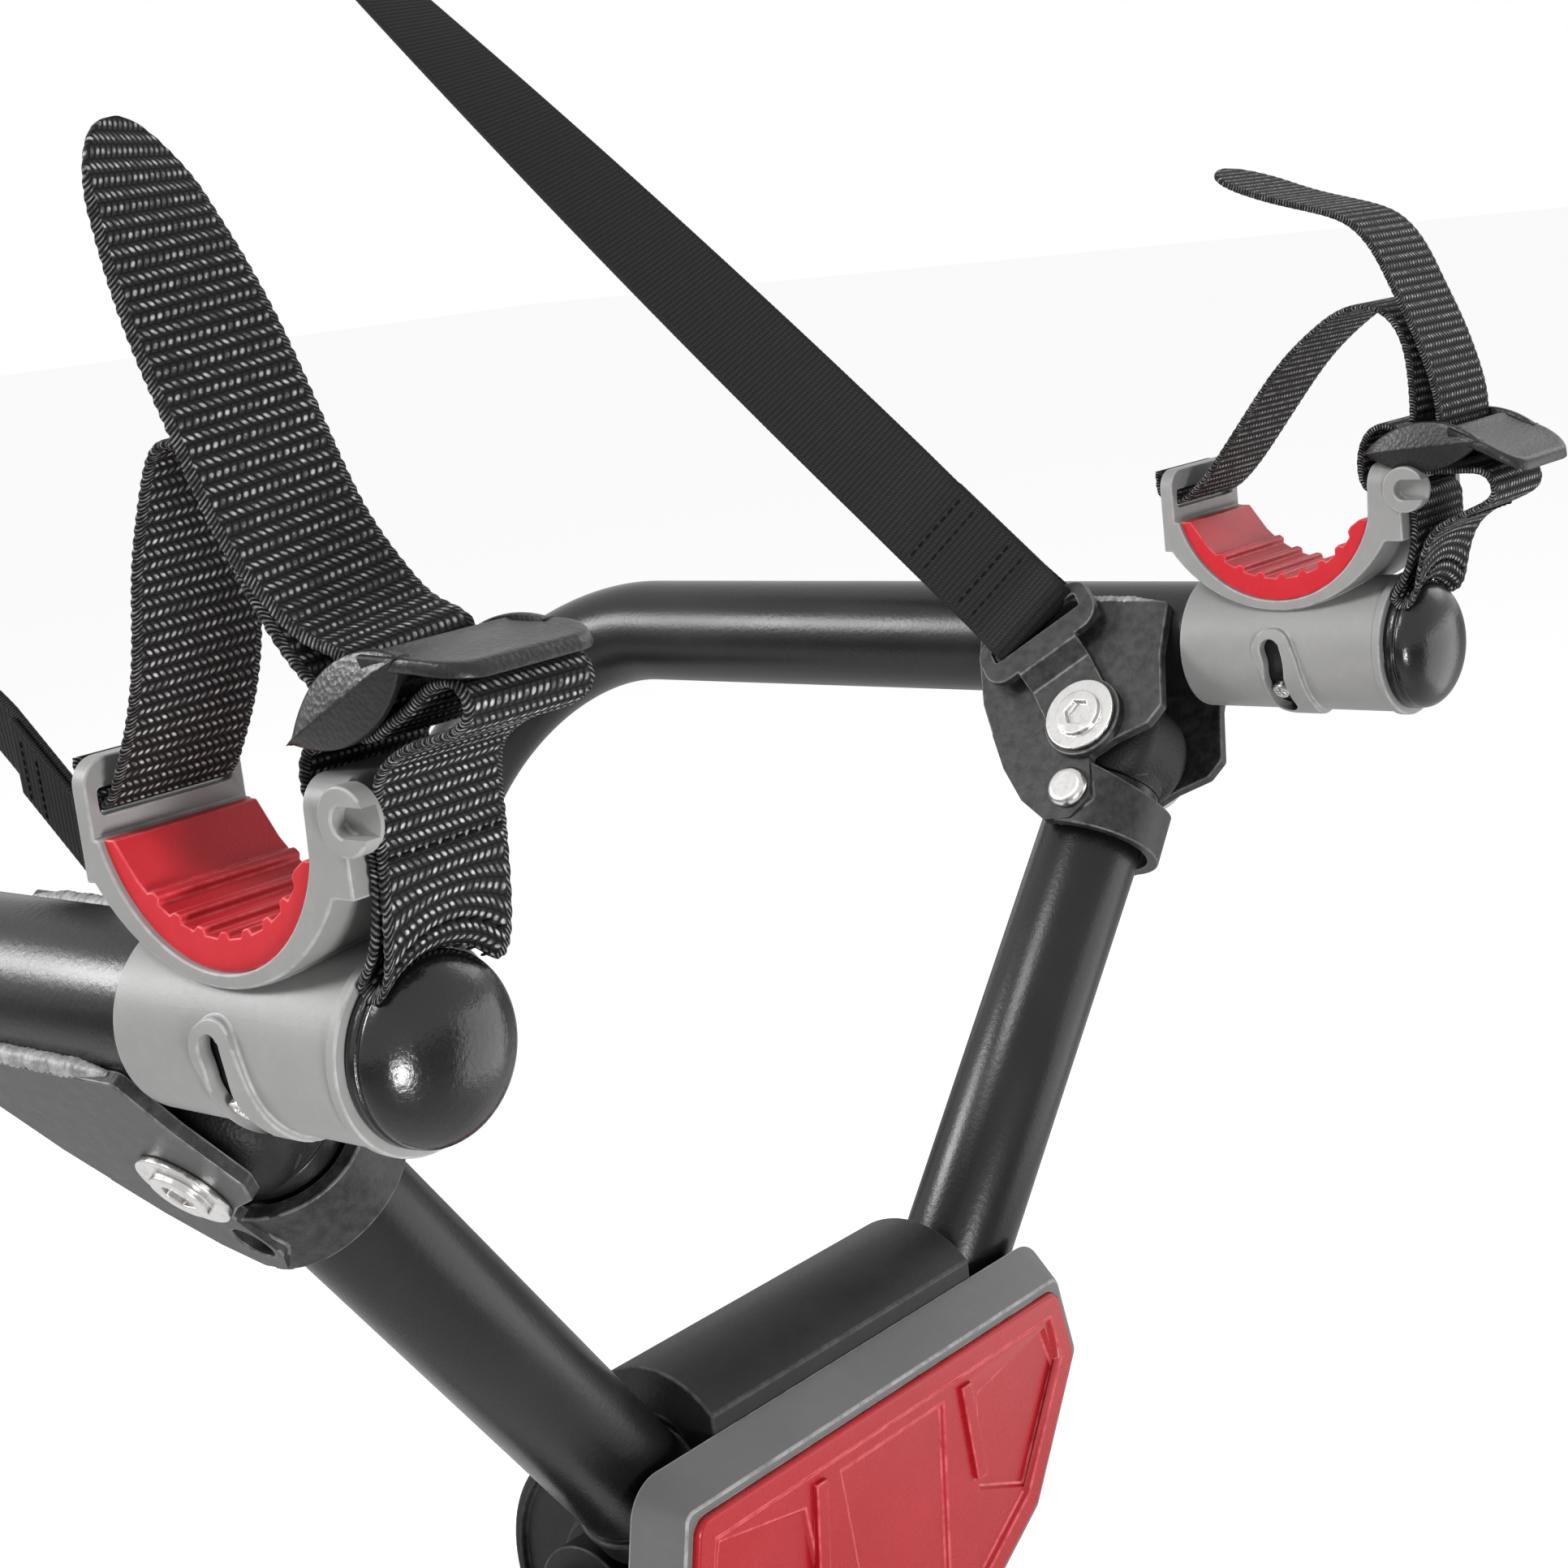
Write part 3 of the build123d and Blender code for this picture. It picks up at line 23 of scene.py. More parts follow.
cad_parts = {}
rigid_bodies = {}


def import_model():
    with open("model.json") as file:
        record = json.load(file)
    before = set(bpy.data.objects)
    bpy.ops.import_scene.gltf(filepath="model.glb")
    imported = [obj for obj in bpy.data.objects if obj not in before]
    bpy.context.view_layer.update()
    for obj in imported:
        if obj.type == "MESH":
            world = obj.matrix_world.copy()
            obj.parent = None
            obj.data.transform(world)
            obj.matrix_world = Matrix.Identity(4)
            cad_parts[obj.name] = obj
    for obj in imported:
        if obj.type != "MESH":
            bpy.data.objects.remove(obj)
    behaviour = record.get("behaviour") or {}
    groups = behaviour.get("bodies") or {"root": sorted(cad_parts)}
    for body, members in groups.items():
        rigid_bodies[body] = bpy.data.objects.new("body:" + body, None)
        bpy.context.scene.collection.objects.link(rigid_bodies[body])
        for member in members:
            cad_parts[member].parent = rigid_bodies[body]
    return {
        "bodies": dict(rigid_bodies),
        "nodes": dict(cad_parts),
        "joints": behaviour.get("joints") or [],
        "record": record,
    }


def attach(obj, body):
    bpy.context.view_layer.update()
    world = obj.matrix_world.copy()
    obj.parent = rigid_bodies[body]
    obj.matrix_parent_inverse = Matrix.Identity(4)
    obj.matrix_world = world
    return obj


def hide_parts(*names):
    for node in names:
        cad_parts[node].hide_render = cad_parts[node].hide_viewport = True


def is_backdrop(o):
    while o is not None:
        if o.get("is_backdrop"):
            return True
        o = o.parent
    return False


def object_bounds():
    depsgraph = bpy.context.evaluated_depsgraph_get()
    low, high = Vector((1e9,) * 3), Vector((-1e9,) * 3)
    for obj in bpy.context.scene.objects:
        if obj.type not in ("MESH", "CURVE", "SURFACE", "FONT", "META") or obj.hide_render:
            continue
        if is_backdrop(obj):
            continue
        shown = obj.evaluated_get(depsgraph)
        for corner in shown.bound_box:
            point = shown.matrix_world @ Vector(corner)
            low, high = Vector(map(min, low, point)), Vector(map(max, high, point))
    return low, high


LOG = logging.getLogger("rack")
MM = 0.001
TAU = 2 * math.pi
EDGE = "edge"
WEAVE = "weave"
Colour = tuple[float, float, float, float]

CARRIER_X = 156.0
KNUCKLE_Y = -248.5
KNUCKLE_Z = 101.685
TROUGH_SHIFT = 1.2
TUBE_R = 14.3
ARM_R = 12.7
INWARD = Vector((-0.79442, 0.0, 0.60738))
DOWN_ARM = Vector((-0.60738, 0.0, -0.79442))
ARM_WAY = Vector((-0.60685, 0.04188, -0.79372))
FORWARD = Vector((0.0, 1.0, 0.0))
ACROSS = Vector((1.0, 0.0, 0.0))


class Side(Enum):
    """The half of the rack that a piece belongs to."""

    RIGHT = 1
    LEFT = -1

    @property
    def word(self) -> str:
        """The side's name as the nodes write it."""
        return self.name.lower()

    def turn(self, point: Vector) -> Vector:
        """A point of the right half, mirrored for the left one."""
        return Vector((point.x * self.value, point.y, point.z))

    def knuckle(self, forward: float, down: float, inward: float) -> Vector:
        """A point by its place at the knuckle, in millimetres."""
        base = Vector((CARRIER_X, KNUCKLE_Y, KNUCKLE_Z))
        return self.turn(base + FORWARD * forward + DOWN_ARM * down + INWARD * inward)

    def beside(self, back: float, up: float, across: float = 0.0) -> Vector:
        """A point by its place behind and above the carrier's axis."""
        x = CARRIER_X * self.value + TROUGH_SHIFT + across
        return Vector((x, KNUCKLE_Y - back, KNUCKLE_Z + up))


class Wire:
    """A node's output that shader maths is written on."""

    def __init__(self, bench: "Bench", socket: bpy.types.NodeSocket) -> None:
        """Keeps the output.

        Args:
            bench: The bench of the finish that the node belongs to.
            socket: The output that carries the value.
        """
        self.bench = bench
        self.socket = socket

    def __add__(self, other: "Wire | float") -> "Wire":
        """Sum of two values."""
        return self.bench.maths("ADD", self, other)

    __radd__ = __add__

    def __mul__(self, other: "Wire | float") -> "Wire":
        """Product of two values."""
        return self.bench.maths("MULTIPLY", self, other)

    __rmul__ = __mul__

    def __sub__(self, other: "Wire | float") -> "Wire":
        """This value less another."""
        return self.bench.maths("SUBTRACT", self, other)

    def __rsub__(self, other: float) -> "Wire":
        """A number less this value."""
        return self.bench.maths("SUBTRACT", other, self)

    def __truediv__(self, other: "Wire | float") -> "Wire":
        """This value divided by another."""
        return self.bench.maths("DIVIDE", self, other)

    def __rtruediv__(self, other: float) -> "Wire":
        """A number divided by this value."""
        return self.bench.maths("DIVIDE", other, self)

    def __pow__(self, other: "Wire | float") -> "Wire":
        """This value raised to a power."""
        return self.bench.maths("POWER", self, other)

    def floor(self) -> "Wire":
        """The whole part of the value."""
        return self.bench.maths("FLOOR", self)

    def fraction(self) -> "Wire":
        """What is left past the whole part."""
        return self.bench.maths("FRACT", self)

    def limit(self) -> "Wire":
        """The value kept between 0 and 1."""
        return self.bench.maths("MULTIPLY", self, 1.0, clamp=True)

    def hump(self) -> "Wire":
        """A rounded rise from 0 through 1 to 0 while the value runs from 0 to 1."""
        return 4.0 * self * (1.0 - self)

    def over(self, low: float, high: float) -> "Wire":
        """How far the value has come from low to high, from 0 to 1."""
        return ((self - low) / (high - low)).limit()


class Bench:
    """The node tree of one finish, or of the studio's surround."""

    def __init__(self, owner: bpy.types.Material | bpy.types.World) -> None:
        """Clears the owner's nodes.

        Args:
            owner: The new material or world.
        """
        self.owner = owner
        owner.use_nodes = True
        self.tree = owner.node_tree
        self.tree.nodes.clear()

    def node(
        self,
        kind: str,
        settings: dict[str, object] | None = None,
        sockets: dict[str | int, "Wire | float | Sequence[float]"] | None = None,
    ) -> bpy.types.Node:
        """Adds a node.

        Args:
            kind: The node's type without its prefix.
            settings: Its settings, and a ramp's stops as (place, grey) pairs.
            sockets: Values or wires for its inputs.

        Returns:
            The node.
        """
        made = self.tree.nodes.new("ShaderNode" + kind)
        for key, value in (settings or {}).items():
            if key == "stops":
                ramp = made.color_ramp.elements
                for spot, (place, grey) in zip(ramp, value):
                    spot.position = place
                    spot.color = (grey, grey, grey, 1.0)
            else:
                setattr(made, key, value)
        for key, value in (sockets or {}).items():
            if isinstance(value, Wire):
                self.tree.links.new(value.socket, made.inputs[key])
            else:
                made.inputs[key].default_value = value
        return made

    def maths(self, work: str, *values: "Wire | float", clamp: bool = False) -> Wire:
        """One Math node.

        Args:
            work: The operation.
            values: Its inputs in order.
            clamp: Whether the result is kept between 0 and 1.

        Returns:
            The result.
        """
        made = self.node("Math", {"operation": work, "use_clamp": clamp}, dict(enumerate(values)))
        return Wire(self, made.outputs[0])

    def place(self) -> Wire:
        """Where a point is on the object, in metres."""
        return Wire(self, self.node("TexCoord").outputs["Object"])

    def weave(self) -> tuple[Wire, Wire]:
        """Reads where a point is on its webbing.

        Returns:
            The place along and the place across, in millimetres.
        """
        where = self.node("UVMap", {"uv_map": WEAVE})
        parts = self.node("SeparateXYZ", None, {0: Wire(self, where.outputs[0])})
        return Wire(self, parts.outputs[0]) * 1000.0, Wire(self, parts.outputs[1]) * 1000.0

    def edge(self) -> Wire:
        """1 on the rounded edges of a piece and 0 elsewhere."""
        made = self.node("Attribute", {"attribute_name": EDGE})
        return Wire(self, made.outputs["Fac"])

    def noise(self, size: float, detail: float = 2.0, rough: float = 0.5, place: Wire | None = None) -> Wire:
        """Soft spots.

        Args:
            size: How large the spots are, in millimetres.
            detail: How many finer layers they have.
            rough: How strong those layers are.
            place: The coordinate, or the object's own.

        Returns:
            A value round 0.5.
        """
        made = self.node(
            "TexNoise",
            None,
            {"Vector": place or self.place(), "Scale": 1000.0 / size, "Detail": detail, "Roughness": rough},
        )
        return Wire(self, made.outputs[0])

    def cells(self, size: float, place: Wire | None = None) -> Wire:
        """Distance to the nearest of many scattered points, for pores and pebbled skins."""
        made = self.node("TexVoronoi", {"feature": "F1"}, {"Vector": place or self.place(), "Scale": 1000.0 / size})
        return Wire(self, made.outputs["Distance"])

    def blend(self, share: "Wire | float", first: "Wire | Colour", second: "Wire | Colour") -> Wire:
        """A colour between two others.

        Args:
            share: 0 for the first colour and 1 for the second.
            first: The first colour.
            second: The second colour.

        Returns:
            The mixed colour.
        """
        made = self.node("Mix", {"data_type": "RGBA"}, {0: share, 6: first, 7: second})
        return Wire(self, made.outputs[2])

    def relief(self, height: Wire, depth: float, under: Wire | None = None) -> Wire:
        """Turns a height into a normal.

        Args:
            height: The height, from 0 to 1.
            depth: What 1 stands for, in millimetres.
            under: A normal that it is added to.

        Returns:
            The normal.
        """
        sockets: dict[str | int, Wire | float] = {"Height": height, "Distance": depth * MM, "Strength": 1.0}
        if under is not None:
            sockets["Normal"] = under
        return Wire(self, self.node("Bump", None, sockets).outputs[0])

    def close(self, **sockets: "Wire | float | Sequence[float]") -> bpy.types.Material:
        """Feeds the shader and ends the finish.

        Args:
            sockets: The shader's inputs, with _ for the space in a name.

        Returns:
            The material.
        """
        named = {key.replace("_", " "): value for key, value in sockets.items()}
        shader = self.node("BsdfPrincipled", None, named)
        self.node("OutputMaterial", None, {0: Wire(self, shader.outputs[0])})
        return self.owner


def grey(level: float, warm: float = 0.0) -> Colour:
    """A grey of one linear level, warmer or cooler by a small share."""
    return (level * (1 + warm), level, level * (1 - warm), 1.0)


def quads(rings: int, turns: int, first: int = 0) -> list[tuple[int, ...]]:
    """The faces between closed rings of corners.

    Args:
        rings: How many rings there are.
        turns: How many corners each has.
        first: The number of the first corner.

    Returns:
        The faces as corner numbers.
    """
    return [
        (
            first + i * turns + k,
            first + i * turns + (k + 1) % turns,
            first + (i + 1) * turns + (k + 1) % turns,
            first + (i + 1) * turns + k,
        )
        for i in range(rings - 1)
        for k in range(turns)
    ]


def lids(rings: int, turns: int, first: int = 0) -> list[tuple[int, ...]]:
    """The two end faces of a body made of rings.

    Args:
        rings: How many rings there are.
        turns: How many corners each has.
        first: The number of the first corner.

    Returns:
        The faces as corner numbers.
    """
    ring = range(first, first + turns)
    return [tuple(reversed(ring)), tuple(k + (rings - 1) * turns for k in ring)]


@dataclass(frozen=True)
class Finish(ABC):
    """A surface finish: its name and the slot that it fills."""

    name: str
    slot: str

    @abstractmethod
    def make(self, bench: Bench) -> bpy.types.Material:
        """Builds the finish.

        Args:
            bench: The empty bench of its material.

        Returns:
            The material.
        """

    def material(self) -> bpy.types.Material:
        """The finish's one material."""
        return bpy.data.materials.get(self.name) or self.make(Bench(bpy.data.materials.new(self.name)))


@dataclass(frozen=True)
class PowderCoat(Finish):
    """Baked powder on tube: satin, with fine orange peel and faint dust."""

    colour: Colour = grey(0.0075)
    dust: Colour = grey(0.018)
    sheen: float = 0.29
    peel: float = 1.1
    depth: float = 0.02
    gloss: float = 0.32

    def make(self, bench: Bench) -> bpy.types.Material:
        """Builds the finish.

        Args:
            bench: The empty bench of its material.

        Returns:
            The material.
        """
        peel = bench.noise(self.peel, 1.5)
        cloud = bench.noise(38.0, 4.0, 0.6)
        grain = bench.noise(0.28, 2.0)
        dust = cloud.over(0.42, 0.75) * 0.5 + grain.over(0.55, 0.9) * 0.35
        edge = bench.edge() * bench.noise(2.5, 3.0).over(0.35, 0.65)
        skin = bench.blend(dust.limit(), self.colour, self.dust)
        return bench.close(
            Base_Color=bench.blend(edge * 0.5, skin, grey(0.16)),
            Roughness=self.sheen + (cloud - 0.5) * 0.18 + (grain - 0.5) * 0.1,
            Normal=bench.relief(peel * 0.7 + grain * 0.3, self.depth * 3),
            Specular_IOR_Level=self.gloss,
        )


@dataclass(frozen=True)
class WornSteel(Finish):
    """Painted plate: mottled, rubbed light on its cut edges."""

    colour: Colour = grey(0.014)
    mottle: Colour = grey(0.05)
    bare: Colour = grey(0.34)
    sheen: float = 0.42
    wear: float = 0.4
    gloss: float = 0.3

    def make(self, bench: Bench) -> bpy.types.Material:
        """Builds the finish.

        Args:
            bench: The empty bench of its material.

        Returns:
            The material.
        """
        blotch = bench.noise(2.6, 5.0, 0.62)
        grain = bench.noise(0.45, 3.0, 0.6)
        patch = bench.noise(11.0, 3.0)
        paint = bench.blend(blotch.over(0.38, 0.68) * 0.7 + grain.over(0.5, 0.8) * 0.3, self.colour, self.mottle)
        rubbed = bench.edge() * (blotch.over(0.3, 0.55) * 0.7 + patch.over(0.4, 0.6) * 0.3) * self.wear
        nicks = grain.over(0.7, 0.82) * patch.over(0.5, 0.7) * 0.25
        worn = (rubbed + nicks).limit()
        return bench.close(
            Base_Color=bench.blend(worn, paint, self.bare),
            Metallic=worn * 0.7,
            Roughness=self.sheen + (blotch - 0.5) * 0.3 - worn * 0.06,
            Normal=bench.relief(blotch * 0.5 + grain * 0.5, 0.08),
            Specular_IOR_Level=self.gloss,
        )


@dataclass(frozen=True)
class Moulded(Finish):
    """Moulded plastic or rubber: a fine spark texture, edges polished or paled by use."""

    colour: Colour = grey(0.0085)
    pale: Colour = grey(0.02)
    edge: Colour = grey(0.07)
    wear: float = 0.6
    sheen: float = 0.45
    texture: float = 0.4
    depth: float = 0.025
    pebble: float = 0.0
    gloss: float = 0.22

    def make(self, bench: Bench) -> bpy.types.Material:
        """Builds the finish.

        Args:
            bench: The empty bench of its material.

        Returns:
            The material.
        """
        spark = bench.noise(self.texture, 3.0, 0.6)
        cloud = bench.noise(22.0, 4.0, 0.6)
        scuff = bench.noise(3.4, 4.0, 0.65)
        skin = bench.blend(cloud.over(0.4, 0.72) * 0.6 + scuff.over(0.5, 0.8) * 0.4, self.colour, self.pale)
        rubbed = (bench.edge() * scuff.over(0.28, 0.6) * self.wear).limit()
        height = spark * 0.7 + scuff * 0.3
        if self.pebble:
            height = height * 0.4 + bench.cells(self.pebble) * 0.6
        return bench.close(
            Base_Color=bench.blend(rubbed, skin, self.edge),
            Roughness=self.sheen + (cloud - 0.5) * 0.14 + (spark - 0.5) * 0.16 - rubbed * 0.1,
            Normal=bench.relief(height, self.depth * 3),
            Specular_IOR_Level=self.gloss,
        )


@dataclass(frozen=True)
class Plated(Finish):
    """Bright zinc on turned steel, with fine tool marks and dull spots."""

    colour: Colour = grey(0.62, 0.02)
    dull: Colour = grey(0.33, 0.03)
    sheen: float = 0.24

    def make(self, bench: Bench) -> bpy.types.Material:
        """Builds the finish.

        Args:
            bench: The empty bench of its material.

        Returns:
            The material.
        """
        spots = bench.noise(1.3, 4.0, 0.6)
        cloud = bench.noise(6.0, 3.0)
        edge = bench.edge()
        dull = spots.over(0.5, 0.75) * 0.6 + cloud.over(0.5, 0.8) * 0.3 - edge * 0.3
        return bench.close(
            Base_Color=bench.blend(dull.limit(), self.colour, self.dull),
            Metallic=1.0,
            Roughness=self.sheen + (spots - 0.5) * 0.3,
            Normal=bench.relief(spots, 0.02),
        )


@dataclass(frozen=True)
class ClosedFoam(Finish):
    """Closed cell foam: matt, with small pores whose pits are painted darker as shade, and a dry bloom."""

    colour: Colour = grey(0.009)
    bloom: Colour = grey(0.022)

    def make(self, bench: Bench) -> bpy.types.Material:
        """Builds the finish.

        Args:
            bench: The empty bench of its material.

        Returns:
            The material.
        """
        pores = bench.cells(0.8)
        cloud = bench.noise(14.0, 4.0, 0.6)
        height = pores.over(0.0, 0.5) * 0.6 + bench.noise(2.4, 3.0) * 0.4
        return bench.close(
            # Paler with the cloud, a dry bloom, and darker towards the middle of each pore: painted shade in the
            # pits.
            Base_Color=bench.blend(cloud.over(0.35, 0.7) * 0.6 + pores * 0.4, self.colour, self.bloom),
            Roughness=0.82 + (cloud - 0.5) * 0.12,
            Normal=bench.relief(height, 0.2),
            Specular_IOR_Level=0.12,
        )


@dataclass(frozen=True)
class Weave(Finish):
    """Woven polyester: rows of yarns that lean one way, then the other, with a bound edge. Its colour has painted
    shade in the gaps between yarns and painted glints on the yarns and the bound edge.
    """

    row: float = 1.95
    yarn: float = 1.3
    lean: tuple[float, float] = (1.15, -0.7)
    half: float = 12.25
    depth: float = 0.3
    # Painted shade: dark is the colour painted into the gaps between the yarns, lit the colour of their raised
    # middles.
    dark: Colour = grey(0.003)
    lit: Colour = grey(0.022)
    # Painted highlight: the colour of the glints painted on the yarns and the bound edge.
    glint: Colour = grey(0.55)
    sheen: float = 0.42
    gloss: float = 0.12

    def make(self, bench: Bench) -> bpy.types.Material:
        """Builds the finish.

        Args:
            bench: The empty bench of its material.

        Returns:
            The material.
        """
        along, across = bench.weave()
        rows = along / self.row
        odd = (rows * 0.5).fraction().over(0.495, 0.505)
        lean = self.lean[0] + odd * (self.lean[1] - self.lean[0])
        share = rows.fraction()
        column = (across / self.yarn + lean * (share - 0.5) + odd * 0.5).fraction()
        bulge = column.hump().limit() ** 0.7 * (share.hump().limit() ** 0.5)
        inside = 1.0 - bench.maths("ABSOLUTE", across).over(self.half - 1.35, self.half - 1.0)
        bound = (along / (self.row * 0.36) + bench.maths("ABSOLUTE", across) * 0.9).fraction().hump()
        fibre = bench.noise(0.16, 2.0)
        fuzz = bench.noise(5.0, 4.0, 0.6)
        height = bulge * inside + (1.0 - inside) * bound * 0.75
        # Painted shade: the colour darkens with the weave's height, into the gaps between yarns, with fibre and fuzz
        # variation on top.
        gap_shade_and_fibre = (height * (0.55 + fibre * 0.6) + (fuzz - 0.5) * 0.3).limit()
        strand = bench.noise(1.3, 3.0).over(0.4, 0.66)
        # Painted highlight: where the glints are painted, narrow spots on each yarn and on the bound edge, dimmed at
        # random.
        painted_glint_core = (column.hump().limit() * share.hump().limit() ** 2.6).over(0.5, 0.9)
        painted_glint_mask = (painted_glint_core * inside + bound.over(0.75, 1.0) * (1.0 - inside) * 0.5) * (0.12 + strand * 0.88)
        return bench.close(
            Base_Color=bench.blend(painted_glint_mask.limit(), bench.blend(gap_shade_and_fibre, self.dark, self.lit), self.glint),
            Roughness=self.sheen + (1.0 - height) * 0.4 + (fibre - 0.5) * 0.2,
            Normal=bench.relief(height * 0.9 + fibre * 0.12, self.depth),
            Specular_IOR_Level=self.gloss,
        )


TUBE_COAT = PowderCoat("tube coat", "tube_black")
PLATE_COAT = WornSteel("bracket coat", "bracket_black")
WELD_COAT = WornSteel("weld coat", "bracket_black", grey(0.16), grey(0.5), grey(0.55), 0.45, 0.5, 0.4)
HUB_PLASTIC = Moulded("hub plastic", "moulded_black", texture=0.5, sheen=0.42)
PLUG_PLASTIC = Moulded("plug plastic", "moulded_black", pebble=0.7, depth=0.05, sheen=0.5)
BUCKLE_PLASTIC = Moulded(
    "buckle plastic", "moulded_black", grey(0.008), grey(0.02), grey(0.1), 0.75, 0.38, 0.9, 0.045, 0.9, 0.4
)
CAP_PLASTIC = Moulded(
    "cap plastic", "cap_black", grey(0.005), grey(0.008), grey(0.04), 0.4, 0.2, 0.9, 0.03, 0.0, 0.5
)
TRIM_PLASTIC = Moulded(
    "trim plastic", "trim_grey", grey(0.13), grey(0.15), grey(0.4), 0.8, 0.36, 0.35, 0.012, 0.0, 0.28
)
CRADLE_PLASTIC = Moulded(
    "cradle plastic", "cradle_grey", grey(0.25, 0.01), grey(0.3, 0.01), grey(0.44), 0.6, 0.44, 0.45, 0.014, 0.0, 0.3
)
LINER_RUBBER = Moulded(
    "liner rubber",
    "liner_red",
    (0.5, 0.014, 0.022, 1.0),
    (0.56, 0.024, 0.036, 1.0),
    (0.72, 0.11, 0.13, 1.0),
    0.7,
    0.46,
    0.6,
    0.02,
    0.0,
    0.3,
)
COVER_PLASTIC = Moulded(
    "cover plastic",
    "cover_red",
    (0.38, 0.009, 0.015, 1.0),
    (0.43, 0.014, 0.022, 1.0),
    (0.74, 0.13, 0.15, 1.0),
    0.8,
    0.27,
    0.9,
    0.008,
    0.0,
    0.32,
)
ZINC = Plated("bright zinc", "zinc_steel")
HOOK_COAT = Moulded("dipped coat", "hook_coat", grey(0.008), grey(0.016), grey(0.04), 0.4, 0.38, 1.8, 0.03)
FOAM = ClosedFoam("closed foam", "foam_black")
COARSE_WEAVE = Weave("coarse webbing", "webbing_black")
FINE_WEAVE = Weave(
    "fine webbing",
    "webbing_black",
    1.5,
    0.6,
    (1.0, 1.0),
    12.25,
    0.16,
    # Painted shade and painted highlight: dark gaps, lit yarns and faint painted glints.
    grey(0.005),
    grey(0.014),
    grey(0.022),
    0.55,
    0.2,
)


class Workshop:
    """The loaded frame, and the ways that pieces are made, dressed and handed over."""

    def __init__(self) -> None:
        """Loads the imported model."""
        self.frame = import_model()
        self.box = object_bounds()
        bodies = self.frame["record"]["behaviour"]["bodies"]
        self.body = {node: body for body, nodes in bodies.items() for node in nodes}

    def mesh(
        self,
        name: str,
        points: Iterable[Sequence[float]],
        faces: Iterable[Sequence[int]],
        flip: bool = False,
        weave: Sequence[tuple[float, float]] | None = None,
    ) -> bpy.types.Object:
        """Makes an object from points in millimetres.

        Args:
            name: The piece's name.
            points: Its corners.
            faces: Its faces as corner numbers.
            flip: Whether the faces are turned over, as for a mirrored piece.
            weave: For webbing, the place of each corner along and across it, in millimetres.

        Returns:
            The object, shaded smooth.
        """
        rings = [tuple(reversed(f)) if flip else tuple(f) for f in faces]
        data = bpy.data.meshes.new(name)
        data.from_pydata([tuple(float(c) * MM for c in p) for p in points], [], rings)
        if weave is not None:
            layer = data.uv_layers.new(name=WEAVE)
            spots = np.array(weave, float) * MM
            corner = np.zeros(len(data.loops), int)
            data.loops.foreach_get("vertex_index", corner)
            layer.data.foreach_set("uv", spots[corner].astype(np.float32).ravel())
        data.polygons.foreach_set("use_smooth", [True] * len(data.polygons))
        data.update()
        made = bpy.data.objects.new(name, data)
        bpy.context.scene.collection.objects.link(made)
        return made

    def deliver(self, piece: bpy.types.Object, finish: Finish, node: str) -> None:
        """Dresses a piece and lets it stand for a solid of the frame.

        Args:
            piece: The piece.
            finish: Its finish.
            node: The solid that it stands for and moves with.
        """
        self.add(piece, finish, node)
        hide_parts(node)

    def add(self, piece: bpy.types.Object, finish: Finish, node: str) -> None:
        """Dresses a piece that moves with a solid of the frame.

        Args:
            piece: The piece.
            finish: Its finish.
            node: The solid that it moves with.
        """
        piece.data.materials.clear()
        piece.data.materials.append(finish.material())
        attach(piece, self.body[node])
        LOG.info("%s moves with %s, %d faces", piece.name, node, len(piece.data.polygons))

    def finish(self, node: str, finish: Finish, width: float, steps: int = 2, least: float = 28.0) -> None:
        """Makes, dresses and delivers a finer copy of a solid.

        Args:
            node: The solid's name.
            finish: The copy's finish.
            width: How wide the rounding of its edges is, in millimetres.
            steps: How many faces it takes.
            least: The smallest turn that counts as an edge, in degrees.
        """
        self.deliver(self.ease(node, width, steps, least), finish, node)

    def ease(self, node: str, width: float, steps: int, least: float) -> bpy.types.Object:
        """Makes a finer copy of a solid, with its sharp edges rounded over.

        An edge that the rounding would fold over stays as it is.

        Args:
            node: The solid's name.
            width: How wide the rounding is, in millimetres.
            steps: How many faces it takes.
            least: The smallest turn that counts as an edge, in degrees.

        Returns:
            The copy. Its rounded edges carry the edge mark for the finish.
        """
        base = bmesh.new()
        base.from_mesh(self.frame["nodes"][node].data)
        bmesh.ops.remove_doubles(base, verts=base.verts, dist=3e-6)
        base.edges.ensure_lookup_table()
        skin = BVHTree.FromBMesh(base)
        turn = math.radians(least)
        sharp = {
            e.index
            for e in base.edges
            if len(e.link_faces) == 2 and e.calc_face_angle(0.0) > turn and e.calc_length() > 1e-6
        }
        best, fewest = None, math.inf
        for _ in range(8):
            work = self.round_over(base, sharp, width, steps)
            folds, area = self.folds(work, skin, width)
            if area < fewest:
                best, work, fewest = work, best, area
            if work is not None:
                work.free()
            if area < 0.02:
                break
            sharp = {i for i in sharp if not self.touches(base.edges[i], folds, 1.3 * width * MM)}
        for edge in best.edges:
            if len(edge.link_faces) == 2 and edge.calc_face_angle(0.0) > math.radians(44):
                edge.smooth = False
        data = bpy.data.meshes.new(node + "_finished")
        best.to_mesh(data)
        best.free()
        base.free()
        made = bpy.data.objects.new(node + "_finished", data)
        bpy.context.scene.collection.objects.link(made)
        flats = made.modifiers.new("flats", "WEIGHTED_NORMAL")
        flats.keep_sharp = True
        flats.weight = 90
        return made

